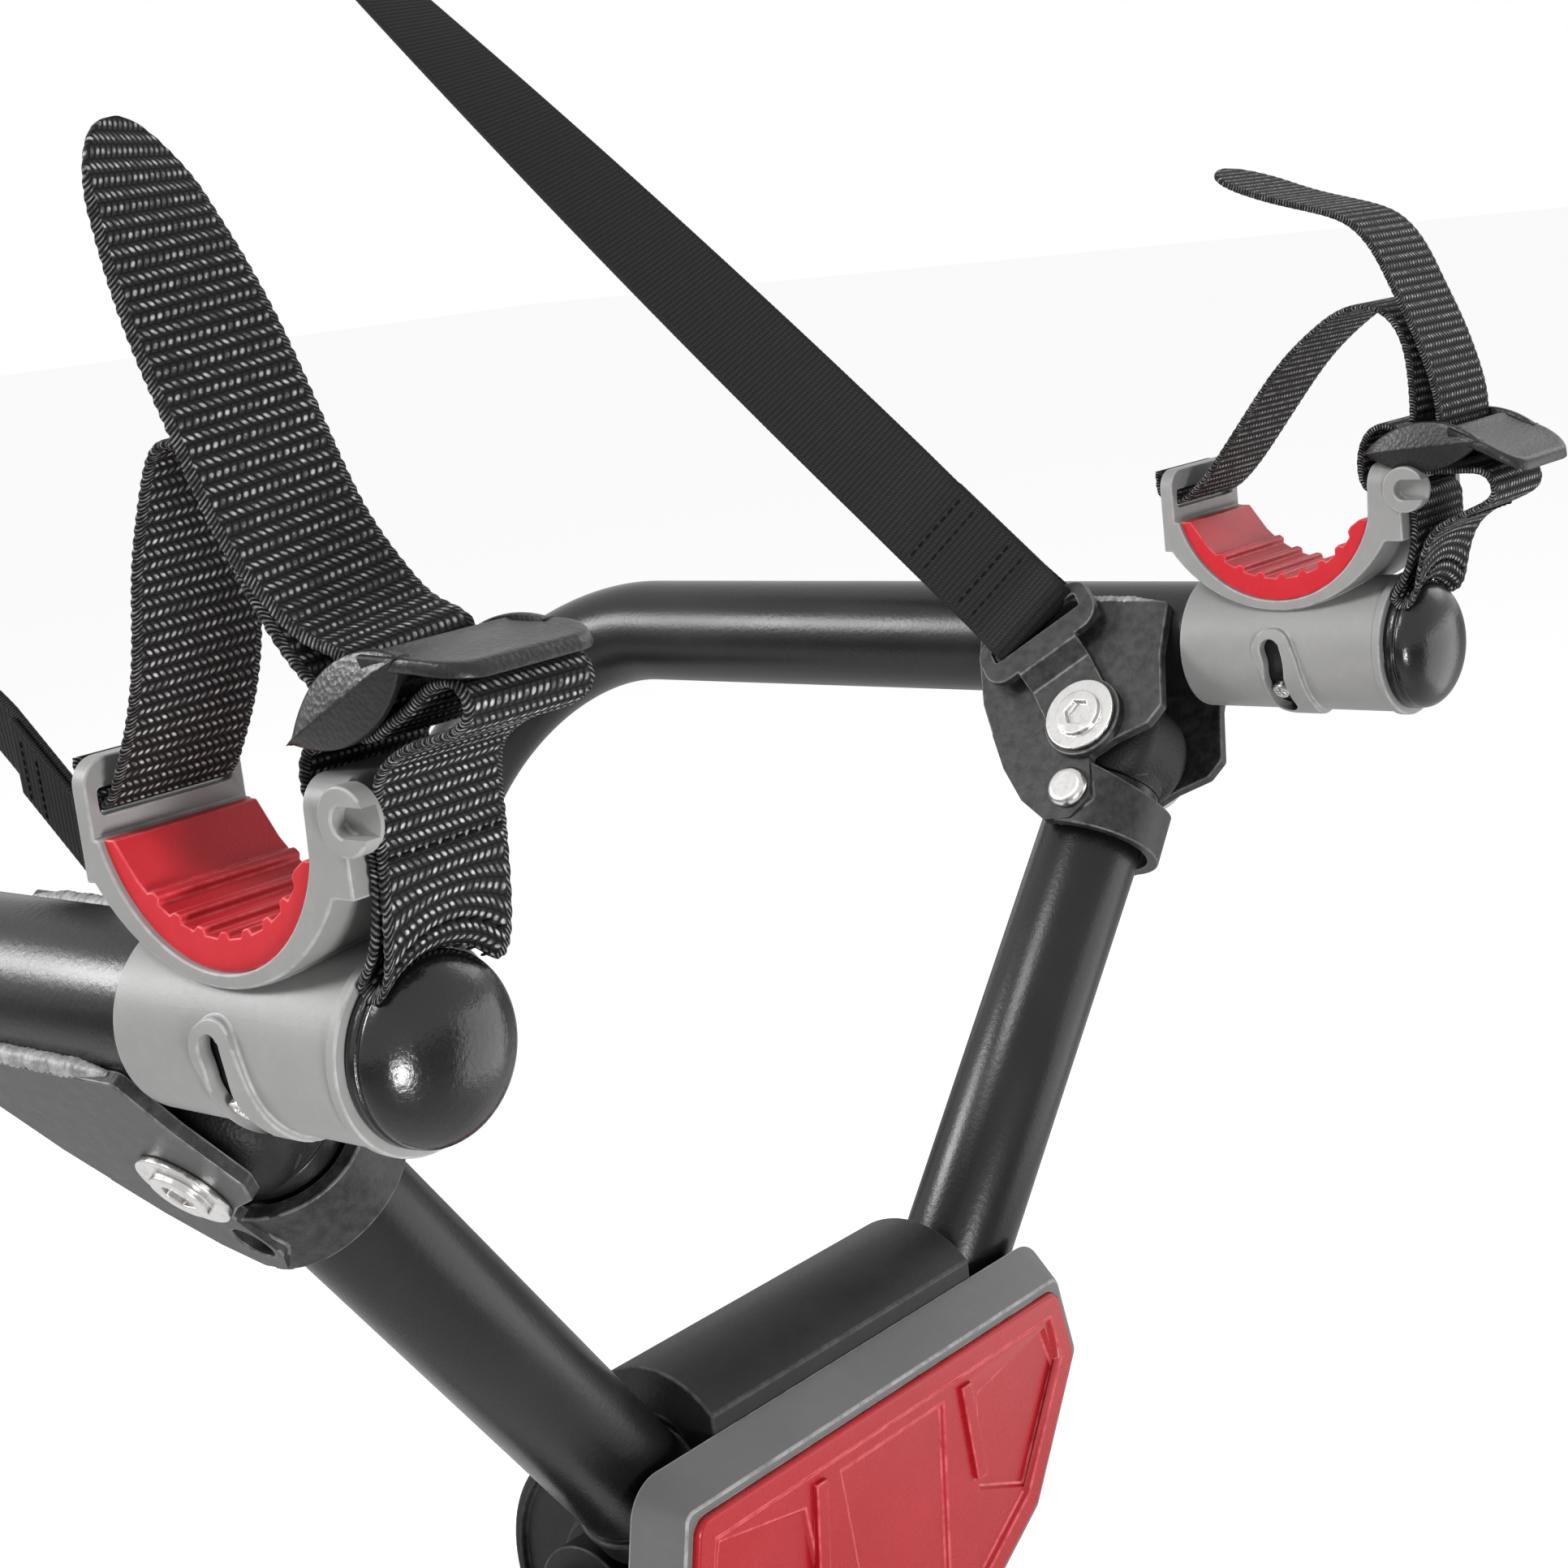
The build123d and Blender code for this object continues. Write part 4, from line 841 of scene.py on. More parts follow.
    @staticmethod
    def round_over(base: bmesh.types.BMesh, sharp: set[int], width: float, steps: int) -> bmesh.types.BMesh:
        """Rounds some edges of a copy over.

        Args:
            base: The solid's mesh.
            sharp: The numbers of the edges.
            width: How wide the rounding is, in millimetres.
            steps: How many faces it takes.

        Returns:
            The copy in triangles, with the edge mark on the rounded ones.
        """
        work = base.copy()
        work.edges.ensure_lookup_table()
        mark = work.loops.layers.float_color.new(EDGE)
        done = bmesh.ops.bevel(
            work,
            geom=[work.edges[i] for i in sharp],
            offset=width * MM,
            offset_type="OFFSET",
            segments=steps,
            profile=0.5,
            affect="EDGES",
            clamp_overlap=False,
            miter_outer="SHARP",
        )
        rounded = set(done["faces"])
        for face in work.faces:
            face.smooth = True
            level = 1.0 if face in rounded else 0.0
            for loop in face.loops:
                loop[mark] = (level, level, level, 1.0)
        bmesh.ops.triangulate(work, faces=work.faces)
        work.normal_update()
        return work

    @staticmethod
    def folds(work: bmesh.types.BMesh, skin: BVHTree, width: float) -> tuple[KDTree, float]:
        """Finds the faces that a rounding has folded over or pulled off the solid.

        Args:
            work: The rounded mesh.
            skin: The solid's surface.
            width: How wide the rounding is, in millimetres.

        Returns:
            The corners of those faces, and their area in square millimetres.
        """
        spots: list[Vector] = []
        area = 0.0
        for face in work.faces:
            size = face.calc_area()
            if size > 1e-10:
                _, normal, _, gap = skin.find_nearest(face.calc_center_median())
                if normal.dot(face.normal) < 0.0 or gap > (0.8 * width + 0.05) * MM:
                    spots += [v.co.copy() for v in face.verts]
                    area += size / MM**2
        tree = KDTree(max(1, len(spots)))
        for i, spot in enumerate(spots):
            tree.insert(spot, i)
        tree.balance()
        return tree, area

    @staticmethod
    def touches(edge: bmesh.types.BMEdge, folds: KDTree, reach: float) -> bool:
        """Whether an edge runs past one of the folded corners.

        Args:
            edge: The edge.
            folds: The folded corners.
            reach: How near counts, in metres.

        Returns:
            True where it does.
        """
        one, two = (v.co for v in edge.verts)
        return any(folds.find(one.lerp(two, k / 4))[2] < reach for k in range(5))

    def lathe(
        self, name: str, profile: Sequence[tuple[float, float]], start: Vector, way: Vector, turns: int = 96
    ) -> bpy.types.Object:
        """Turns a profile round an axis.

        Args:
            name: The piece's name.
            profile: Pairs of distance along the axis and radius, in millimetres.
            start: Where the axis starts.
            way: The axis.
            turns: How many steps go round.

        Returns:
            The object.
        """
        way = way.normalized()
        side = way.orthogonal().normalized()
        other = way.cross(side)
        points: list[Vector] = []
        for far, radius in profile:
            for k in range(turns):
                a = TAU * k / turns
                points.append(start + way * far + (side * math.cos(a) + other * math.sin(a)) * radius)
        made = self.mesh(name, points, quads(len(profile), turns) + lids(len(profile), turns))
        for face in list(made.data.polygons)[-2:]:
            face.use_smooth = False
        return made

    def run(
        self, name: str, line: Sequence[Vector], radius: Callable[[int, float], float], turns: int = 72
    ) -> bpy.types.Object:
        """Makes a round bar along a line.

        Args:
            name: The piece's name.
            line: The points of its middle.
            radius: The radius at a point number and an angle.
            turns: How many steps go round.

        Returns:
            The object.
        """
        points: list[Vector] = []
        side = (line[1] - line[0]).orthogonal().normalized()
        for i, spot in enumerate(line):
            way = (line[min(i + 1, len(line) - 1)] - line[max(i - 1, 0)]).normalized()
            side = (side - way * side.dot(way)).normalized()
            other = way.cross(side)
            for k in range(turns):
                a = TAU * k / turns
                points.append(spot + (side * math.cos(a) + other * math.sin(a)) * radius(i, a))
        return self.mesh(name, points, quads(len(line), turns) + lids(len(line), turns))

    def keep_sizes(self) -> None:
        """Works out the solids' box and the dressed model's box, but keeps neither."""
        ({
                "cad": [[float(c) for c in corner] for corner in self.box],
                "visual": [[float(c) for c in corner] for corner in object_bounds()],
            })


class SmoothLine:
    """A smooth line through points, read at even steps."""

    def __init__(self, knots: Sequence[Sequence[float]]) -> None:
        """Fits the line.

        Args:
            knots: The points that it goes through.
        """
        self.knots = np.array([tuple(k) for k in knots], float)
        gaps = np.linalg.norm(np.diff(self.knots[:, :2], axis=0), axis=1)
        self.at = np.concatenate([[0.0], np.cumsum(gaps)])
        count = len(self.knots)
        grid = np.zeros((count, count))
        right = np.zeros_like(self.knots)
        grid[0, 0] = grid[-1, -1] = 1.0
        for i in range(1, count - 1):
            grid[i, i - 1 : i + 2] = gaps[i - 1], 2 * (gaps[i - 1] + gaps[i]), gaps[i]
            ahead = (self.knots[i + 1] - self.knots[i]) / gaps[i]
            behind = (self.knots[i] - self.knots[i - 1]) / gaps[i - 1]
            right[i] = 6 * (ahead - behind)
        self.bend = np.linalg.solve(grid, right)

    def read(self, at: np.ndarray) -> np.ndarray:
        """Finds points of the line.

        Args:
            at: Places counted along the knots.

        Returns:
            One point a row.
        """
        i = np.clip(np.searchsorted(self.at, at, side="right") - 1, 0, len(self.at) - 2)
        gap = (self.at[i + 1] - self.at[i])[:, None]
        a = (self.at[i + 1] - at)[:, None] / gap
        b = 1 - a
        curve = ((a**3 - a) * self.bend[i] + (b**3 - b) * self.bend[i + 1]) * gap**2 / 6
        return a * self.knots[i] + b * self.knots[i + 1] + curve

    def steps(self, step: float, samples: int = 4000) -> np.ndarray:
        """Finds evenly spaced points.

        Args:
            step: About how far apart they are.
            samples: How many points the line's length is measured on.

        Returns:
            One point a row.
        """
        fine = self.read(np.linspace(0, self.at[-1], samples))
        run = np.concatenate([[0.0], np.cumsum(np.linalg.norm(np.diff(fine[:, :2], axis=0), axis=1))])
        even = np.linspace(0, run[-1], max(8, round(run[-1] / step)))
        return np.stack([np.interp(even, run, fine[:, axis]) for axis in range(fine.shape[1])], axis=1)


@dataclass(frozen=True)
class Band:
    """Flat webbing with raised ribs and bumpy woven edges."""

    half: float = 12.25
    thick: float = 1.3
    row: float = 1.95
    yarn: float = 1.3
    rise: float = 0.1
    lean: tuple[float, float] = (1.15, -0.7)
    wobble: float = 0.36
    cells: int = 28
    tip: float = 0.0

    def lift(self, along: float, across: float) -> float:
        """How far the weave stands up at a place of the webbing.

        Args:
            along: The distance along it.
            across: The distance from its middle.

        Returns:
            The height in millimetres.
        """
        row = along / self.row
        odd = int(math.floor(row)) % 2
        share = row - math.floor(row)
        lean = self.lean[odd]
        rib = math.sqrt(max(0.0, math.sin(math.pi * share)))
        column = math.cos(TAU * (across / self.yarn + lean * (share - 0.5) + odd * 0.5) * 0.5)
        fade = min(1.0, max(0.0, (self.half - abs(across)) / 1.3))
        return self.rise * fade * (rib - 0.55 + 0.25 * abs(column) * rib)

    def reach(self, along: float, length: float, way: int) -> float:
        """Half the width at a place, with the bumps of the bound edge and the rounded tip.

        Args:
            along: The distance along the webbing.
            length: The webbing's whole length.
            way: -1 for the left edge and 1 for the right one.

        Returns:
            Half the width in millimetres.
        """
        bump = self.wobble * (abs(math.sin(math.pi * along / self.row + 0.4 * way)) - 0.5)
        half = self.half + bump
        left = length - along
        if self.tip and left < self.tip:
            half *= math.sqrt(max(0.0, 1 - ((self.tip - left) / self.tip) ** 2))
        return max(half, 0.4)

    def lay(
        self,
        shop: Workshop,
        name: str,
        middle: Sequence[Vector],
        across: Sequence[Vector],
        off: Sequence[Vector],
    ) -> bpy.types.Object:
        """Lays the webbing along a line.

        Args:
            shop: The workshop.
            name: The piece's name.
            middle: Points of its middle line.
            across: The way across it at each point.
            off: The way that its face looks at each point.

        Returns:
            The webbing, with its weave marked out in millimetres.
        """
        runs = [0.0]
        for one, two in zip(middle, middle[1:]):
            runs.append(runs[-1] + (two - one).length)
        edge = self.thick / 2
        flat = [-1 + 2 * j / self.cells for j in range(self.cells + 1)]
        points: list[Vector] = []
        weave: list[tuple[float, float]] = []
        for spot, wide, out, along in zip(middle, across, off, runs):
            left = self.reach(along, runs[-1], -1)
            right = self.reach(along, runs[-1], 1)
            ring: list[tuple[float, float]] = []
            for share in flat:
                x = share * (left if share < 0 else right) * (1 - edge / self.half)
                ring.append((x, edge + self.lift(along, x)))
            for a in (0.28, 0.5, 0.72):
                x = right * (1 - edge / self.half) + edge * math.sin(math.pi * a)
                ring.append((x, edge * math.cos(math.pi * a)))
            for share in reversed(flat):
                x = share * (left if share < 0 else right) * (1 - edge / self.half)
                ring.append((x, -edge - self.lift(along + self.row, x)))
            for a in (0.72, 0.5, 0.28):
                x = -left * (1 - edge / self.half) - edge * math.sin(math.pi * a)
                ring.append((x, edge * math.cos(math.pi * a)))
            for x, z in ring:
                points.append(spot + wide * x + out * z)
                weave.append((along, x))
        count = len(points) // len(middle)
        faces = [
            (i * count + k, (i + 1) * count + k, (i + 1) * count + (k + 1) % count, i * count + (k + 1) % count)
            for i in range(len(middle) - 1)
            for k in range(count)
        ]
        last = (len(middle) - 1) * count
        faces += [tuple(range(count)), tuple(range(last + count - 1, last - 1, -1))]
        return shop.mesh(name, points, faces, weave=weave)

    def lay_beside(
        self,
        shop: Workshop,
        name: str,
        side: Side,
        path: Sequence[Sequence[float]],
        sway: Sequence[tuple[float, float, float, float]] = (),
        step: float = 0.44,
    ) -> bpy.types.Object:
        """Lays the webbing along a path drawn from the side: x back, y up.

        Args:
            shop: The workshop.
            name: The piece's name.
            side: The carrier that it sits on.
            path: The points of its middle line.
            sway: Rows of share of the length, shift back, shift across and turn in degrees.
            step: The distance between two of its sections.

        Returns:
            The webbing.
        """
        line = SmoothLine(path).steps(step)
        share = np.linspace(0.0, 1.0, len(line))
        rows = np.array(sway or [(0, 0, 0, 0), (1, 0, 0, 0)], float)
        back, across, turn = (np.interp(share, rows[:, 0], rows[:, k]) for k in (1, 2, 3))
        soft = np.ones(41) / 41
        back, across, turn = (
            np.convolve(np.pad(values, 20, mode="edge"), soft, mode="valid") for values in (back, across, turn)
        )
        middle = [side.beside(float(b + s), float(u), float(x)) for (b, u), s, x in zip(line, back, across)]
        ways = [
            (middle[min(i + 1, len(middle) - 1)] - middle[max(i - 1, 0)]).normalized() for i in range(len(middle))
        ]
        wide: list[Vector] = []
        off: list[Vector] = []
        for way, angle in zip(ways, np.radians(turn)):
            flat = (ACROSS - way * ACROSS.dot(way)).normalized()
            out = flat.cross(way)
            wide.append(flat * math.cos(angle) + out * math.sin(angle))
            off.append(out * math.cos(angle) - flat * math.sin(angle))
        return self.lay(shop, name, middle, wide, off)


@dataclass(frozen=True)
class Stitches:
    """A row of thread stitches on webbing."""

    length: float = 2.1
    gap: float = 0.7
    thread: float = 0.33
    half: float = 10.0
    sink: float = 0.12
    shares: tuple[float, ...] = (-1.0, -0.8, -0.35, 0.35, 0.8, 1.0)
    turns: int = 8

    def sew(
        self, shop: Workshop, name: str, rows: Sequence[tuple[Vector, Vector, Vector]]
    ) -> bpy.types.Object:
        """Sews rows.

        Args:
            shop: The workshop.
            name: The piece's name.
            rows: For each row its middle, the way that it runs and the way off the cloth.

        Returns:
            All the stitches as one object.
        """
        points: list[Vector] = []
        faces: list[tuple[int, ...]] = []
        pitch = self.length + self.gap
        for spot, way, out in rows:
            count = max(1, int(2 * self.half / pitch))
            for n in range(count):
                self.stitch(points, faces, spot + way * ((n - (count - 1) / 2) * pitch), way, out)
        return shop.mesh(name, points, faces)

    def stitch(
        self, points: list[Vector], faces: list[tuple[int, ...]], spot: Vector, way: Vector, out: Vector
    ) -> None:
        """Adds one stitch.

        Args:
            points: The corners so far.
            faces: The faces so far.
            spot: The stitch's middle.
            way: The way that it runs.
            out: The way off the cloth.
        """
        side = way.cross(out)
        base = len(points)
        for share in self.shares:
            swell = math.sqrt(max(0.0, 1 - share**4))
            r = self.thread * max(0.15, swell)
            lift = self.thread * 0.5 * swell - self.sink
            for k in range(self.turns):
                a = TAU * k / self.turns
                along = way * (share * self.length / 2)
                points.append(spot + along + side * (r * math.cos(a)) + out * (r * 0.8 * math.sin(a) + lift))
        faces += quads(len(self.shares), self.turns, base) + lids(len(self.shares), self.turns, base)


@dataclass(frozen=True)
class FoamPad:
    """A foam sleeve with rounded ends, pressed flat where it rests."""

    radius: float = 20.0
    flat: float = 19.0
    length: float = 80.0
    round: float = 3.5
    bore: float = 0.72
    dish: float = 0.4
    crown: float = 0.12
    ripple: float = 0.06
    press: float = 0.6
    give: float = 0.55
    soft: float = 0.9
    corner_steps: int = 6
    steps: int = 40
    turns: int = 88

    def make(self, shop: Workshop, name: str, start: Vector, way: Vector, rest: Vector) -> bpy.types.Object:
        """Makes the pad.

        Args:
            shop: The workshop.
            name: The piece's name.
            start: Where the tube's axis starts.
            way: The way of the axis.
            rest: The way of the flat.

        Returns:
            The pad.
        """
        side = way.cross(rest).normalized()
        rows: list[tuple[float, float]] = [(self.dish, self.radius * self.bore)]
        for k in range(self.corner_steps + 1):
            a = math.pi / 2 * k / self.corner_steps
            rows.append((self.round * (1 - math.cos(a)), self.radius - self.round * (1 - math.sin(a))))
        end = len(rows)
        for k in range(1, self.steps):
            share = k / self.steps
            crown = self.crown * math.sin(math.pi * share) + self.ripple * math.sin(5 * math.pi * share)
            body = self.radius - self.crown - self.ripple / 3
            rows.append((self.round + (self.length - 2 * self.round) * share, body + crown))
        rows += [(self.length - far, r) for far, r in reversed(rows[:end])]
        turns = self.turns
        points: list[Vector] = []
        for far, r in rows:
            for k in range(turns):
                a = TAU * k / turns
                x, y = r * math.cos(a), r * math.sin(a)
                past = x - (self.flat - self.press)
                if past > 0:
                    x += self.give * math.tanh(past / self.soft) - past
                points.append(start + way * far + rest * x + side * y)
        last = (len(rows) - 1) * turns
        faces = quads(len(rows), turns)
        faces += [(k, last + k, last + (k + 1) % turns, (k + 1) % turns) for k in range(turns)]
        pad = shop.mesh(name, points, faces, flip=True)
        return pad


@dataclass
class MainFrame:
    """The hub and the two arms that rise from it."""

    arm_top: float = 40.0
    arm_end: float = 170.0
    lip: float = 0.5

    def build(self, shop: Workshop) -> None:
        """Makes the hub's pieces and both arms.

        Args:
            shop: The workshop.
        """
        shop.finish("hub_housing", HUB_PLASTIC, 0.6, 3)
        shop.finish("hub_trim", TRIM_PLASTIC, 0.45, 3)
        shop.finish("hub_cover", COVER_PLASTIC, 0.35, 3, 20.0)
        shop.finish("hub_bolts", ZINC, 0.3)
        for side in Side:
            self.build_arm(shop, side)

    def build_arm(self, shop: Workshop, side: Side) -> None:
        """Makes one arm with its two plugs.

        Args:
            shop: The workshop.
            side: The arm's side.
        """
        way = side.turn(ARM_WAY)
        start = side.knuckle(0, 0, 0)
        rim = self.lip
        profile = [
            (self.arm_top, ARM_R - rim),
            (self.arm_top + rim * 0.3, ARM_R - rim * 0.3),
            (self.arm_top + rim, ARM_R),
            (self.arm_end - rim, ARM_R),
            (self.arm_end - rim * 0.3, ARM_R - rim * 0.3),
            (self.arm_end, ARM_R - rim),
        ]
        arm = shop.lathe(f"arm_{side.word}_tube", profile, start, way)
        shop.deliver(arm, TUBE_COAT, f"arm_{side.word}")
        shop.finish(f"arm_plug_{side.word}", PLUG_PLASTIC, 0.35)
        shop.finish(f"arm_spigot_{side.word}", HUB_PLASTIC, 0.15)


@dataclass
class Carrier:
    """One folding carrier: its tube, bracket, bolt, lock pin, cap and rest pad."""

    side: Side
    cap_front: float = 70.0
    bend_start: float = 169.5
    bend: float = 60.0
    leg: float = 78.0
    pad_near: float = 66.0
    pad_length: float = 64.0
    weld_from: float = -9.0
    weld_to: float = 40.0
    weld_out: float = 15.3
    weld_r: float = 1.85
    weld_under: float = 2.0
    weld_steps: int = 110
    bead: float = 1.7
    ring: float = 2.0
    ring_r: float = 15.0
    groove: float = 0.5
    groove_r: float = 14.5
    dome: float = 7.5
    dome_r: float = 14.9
    dome_steps: int = 28

    def build(self, shop: Workshop) -> None:
        """Makes the carrier's pieces.

        Args:
            shop: The workshop.
        """
        word = self.side.word
        shop.deliver(self.tube(shop), TUBE_COAT, f"carrier_{word}")
        shop.finish(f"bracket_{word}", PLATE_COAT, 0.4, 3)
        shop.deliver(self.weld(shop), WELD_COAT, f"weld_{word}")
        shop.finish(f"pivot_bolt_{word}", ZINC, 0.3, 3)
        shop.finish(f"lock_pin_{word}", ZINC, 0.2)
        shop.deliver(self.cap(shop), CAP_PLASTIC, f"end_cap_{word}")
        shop.finish(f"stop_screw_{word}", ZINC, 0.15)
        shop.deliver(self.pad(shop), FOAM, f"rest_pad_{word}")
        shop.finish(f"rest_plug_{word}", CAP_PLASTIC, 0.3)

    def tube(self, shop: Workshop) -> bpy.types.Object:
        """Makes the bent tube.

        Args:
            shop: The workshop.

        Returns:
            The tube.
        """
        line = [self.side.knuckle(-self.cap_front + 2.0 * k, 0, 0) for k in range(3)]
        line.append(self.side.knuckle(0, 0, 0))
        line.append(self.side.knuckle(self.bend_start - 2, 0, 0))
        for k in range(41):
            a = math.pi / 2 * k / 40
            ahead = self.bend_start + self.bend * math.sin(a)
            line.append(self.side.knuckle(ahead, self.bend * (1 - math.cos(a)), 0))
        line.append(self.side.knuckle(self.bend_start + self.bend, self.bend + 2, 0))
        line.append(self.side.knuckle(self.bend_start + self.bend, self.bend + self.leg, 0))
        return shop.run(f"carrier_{self.side.word}_tube", line, lambda i, a: TUBE_R, 96)

    def weld(self, shop: Workshop) -> bpy.types.Object:
        """Makes both beads of the weld, laid as overlapping drops.

        Args:
            shop: The workshop.

        Returns:
            The inner bead. The outer one is an extra piece.
        """
        both: list[bpy.types.Object] = []
        for out in (self.weld_out, -self.weld_out):
            count = self.weld_steps
            line = [
                self.side.knuckle(self.weld_from + (self.weld_to - self.weld_from) * k / count, -self.weld_under, out)
                for k in range(count + 1)
            ]

            def drop(i: int, angle: float) -> float:
                """Swells the bead at each drop.

                Args:
                    i: The number of the point along the bead.
                    angle: The angle round it.

                Returns:
                    The bead's radius.
                """
                share = (self.weld_to - self.weld_from) * i / count / self.bead
                end = min(1.0, 4.0 * min(i, count - i) / count + 0.35)
                swell = 0.86 + 0.14 * abs(math.sin(math.pi * share)) + 0.04 * math.sin(share * 1.7 + angle)
                return self.weld_r * swell * end

            both.append(shop.run(f"weld_{self.side.word}_{'in' if out > 0 else 'out'}", line, drop, 24))
        shop.add(both[1], WELD_COAT, f"weld_{self.side.word}")
        return both[0]

    def cap(self, shop: Workshop) -> bpy.types.Object:
        """Makes the domed cap with its thin ring.

        Args:
            shop: The workshop.

        Returns:
            The cap.
        """
        corner = ((0.0, 0.3), (0.1, 0.08), (0.3, 0.0))
        profile = [(0.0, TUBE_R)] + [(far, self.ring_r - drop) for far, drop in corner]
        profile += [(self.ring - far, self.ring_r - drop) for far, drop in reversed(corner)]
        root = self.ring + self.groove
        profile += [(self.ring + 0.02, self.groove_r), (root, self.groove_r)]
        for k in range(1, self.dome_steps + 1):
            a = math.pi / 2 * k / self.dome_steps
            r = self.dome_r * math.cos(a) ** 0.96 if k > 1 else self.dome_r - 0.02
            profile.append((root + self.dome * math.sin(a), max(0.02, r)))
        start = self.side.turn(Vector((CARRIER_X, KNUCKLE_Y - self.cap_front, KNUCKLE_Z)))
        return shop.lathe(f"end_cap_{self.side.word}_dome", profile, start, -FORWARD, 96)

    def pad(self, shop: Workshop) -> bpy.types.Object:
        """Makes the foam pad that rests on the hatch.

        Args:
            shop: The workshop.

        Returns:
            The pad.
        """
        start = self.side.knuckle(self.bend_start + self.bend, self.pad_near, 0)
        return FoamPad(length=self.pad_length).make(
            shop, f"rest_pad_{self.side.word}_foam", start, self.side.turn(DOWN_ARM), FORWARD.copy()
        )


@dataclass(frozen=True)
class Seat:
    """Where a buckle sits beside its carrier, and how far it is tipped."""

    back: float
    up: float
    tilt: float

    def at(self, x: float, y: float) -> tuple[float, float]:
        """Finds where a point of the buckle is beside the carrier.

        Args:
            x: Its place along the buckle.
            y: Its height above the buckle's middle.

        Returns:
            Its place behind and above the carrier's axis.
        """
        turned = math.radians(self.tilt)
        cos, sin = math.cos(turned), math.sin(turned)
        return (self.back + x * cos - y * sin, self.up + x * sin + y * cos)


@dataclass
class Cradle:
    """One turning cradle with its liner, buckle and webbing."""

    side: Side
    seat: Seat
    strap: Sequence[tuple[float, float]]
    anchor: Sequence[tuple[float, float]]
    sway: Sequence[tuple[float, float, float, float]] = ()
    sewn: tuple[float, ...] = (15.5, 19.5, 31.5)
    stitch_pitch: float = 2.55
    stitch_lift: float = 0.86
    rear_from: float = 72.5
    drape_r: float = 16.4
    drape_top: float = 30.0
    drape_length: float = 12.0
    cheek_half: float = 14.2
    cheek_rise: float = 5.6
    cheek_near: float = 12.75
    cheek_thick: float = 2.6
    thumb_from: float = 8.4
    thumb_length: float = 14.0
    thumb_corner: float = 6.5
    thumb_thick: float = 2.5
    thumb_top: float = 3.3
    thumb_drop: float = 5.6
    bars: tuple[float, ...] = (-8.6, 0.0, 8.6)
    bar_r: float = 1.9
    bar_sink: float = 0.5
    bar_turns: int = 28
    cheek_steps: int = 56

    def build(self, shop: Workshop) -> None:
        """Makes the cradle's pieces.

        Args:
            shop: The workshop.
        """
        word = self.side.word
        shop.finish(f"cradle_{word}", CRADLE_PLASTIC, 0.4, 3)
        shop.finish(f"liner_{word}", LINER_RUBBER, 0.3)
        shop.deliver(self.frame(shop), BUCKLE_PLASTIC, f"buckle_{word}")
        band = Band(tip=12.6, half=12.35)
        strap = band.lay_beside(shop, f"bike_strap_{word}_webbing", self.side, self.strap, self.sway)
        shop.deliver(strap, COARSE_WEAVE, f"bike_strap_{word}")
        loop = Band(thick=1.35, wobble=0.3).lay_beside(shop, f"anchor_strap_{word}_webbing", self.side, self.anchor)
        self.drape(loop)
        shop.deliver(loop, COARSE_WEAVE, f"anchor_strap_{word}")
        shop.add(self.seams(shop), COARSE_WEAVE, f"anchor_strap_{word}")

    def hang(self, up: float, across: float) -> float:
        """How far the loop's foot hangs down beside its middle, where it lies over the barrel.

        Args:
            up: The height above the carrier's axis.
            across: The distance from the loop's middle.

        Returns:
            The drop in millimetres.
        """
        share = min(1.0, max(0.0, (self.drape_top - up) / self.drape_length))
        share *= share * (3 - 2 * share)
        return share * (self.drape_r - math.sqrt(self.drape_r**2 - min(abs(across), 12.6) ** 2))

    def drape(self, loop: bpy.types.Object) -> None:
        """Lets the foot of the loop follow the round of the barrel.

        Args:
            loop: The loop's webbing.
        """
        middle = self.side.beside(0.0, 0.0)
        for corner in loop.data.vertices:
            spot = corner.co / MM
            corner.co.z -= self.hang(spot.z - middle.z, spot.x - middle.x) * MM
        loop.data.update()

    def seams(self, shop: Workshop) -> bpy.types.Object:
        """Sews the rows across the loop's rear strand.

        Args:
            shop: The workshop.

        Returns:
            The stitches.
        """
        line = SmoothLine(self.anchor).steps(0.25)
        rear = [i for i in range(1, len(line) - 1) if line[i][0] > self.rear_from and line[i + 1][1] > line[i - 1][1]]
        points: list[Vector] = []
        faces: list[tuple[int, ...]] = []
        for up in self.sewn:
            at = min(rear[: len(rear) // 2 + 1], key=lambda i: abs(line[i][1] - up))
            way = Vector((0.0, line[at - 1][0] - line[at + 1][0], line[at + 1][1] - line[at - 1][1])).normalized()
            out = ACROSS.cross(way)
            for k in range(-4, 5):
                across = self.stitch_pitch * k
                spot = self.side.beside(float(line[at][0]), float(line[at][1]) - self.hang(up, across), across)
                Stitches().stitch(points, faces, spot + out * self.stitch_lift, ACROSS, out)
        return shop.mesh(f"anchor_strap_{self.side.word}_stitches", points, faces)

    def frame(self, shop: Workshop) -> bpy.types.Object:
        """Makes the buckle: two ridged cheeks, three bars and a thumb plate, joined as one piece.

        Args:
            shop: The workshop.

        Returns:
            The buckle.
        """
        points: list[Vector] = []
        faces: list[tuple[int, ...]] = []

        def spot(x: float, y: float, across: float) -> Vector:
            """A point of the buckle."""
            return self.side.beside(*self.seat.at(x, y), across)

        for way in (1, -1):
            self.cheek(points, faces, spot, way)
        reach = self.cheek_near + self.bar_sink
        for bar in self.bars:
            base = len(points)
            for across in (-reach, reach):
                for k in range(self.bar_turns):
                    a = TAU * k / self.bar_turns
                    points.append(spot(bar + self.bar_r * math.cos(a), self.bar_r * math.sin(a), across))
            faces += [tuple(reversed(face)) for face in quads(2, self.bar_turns, base)]
        self.thumb(points, faces, spot)
        return shop.mesh(f"buckle_{self.side.word}_frame", points, faces)

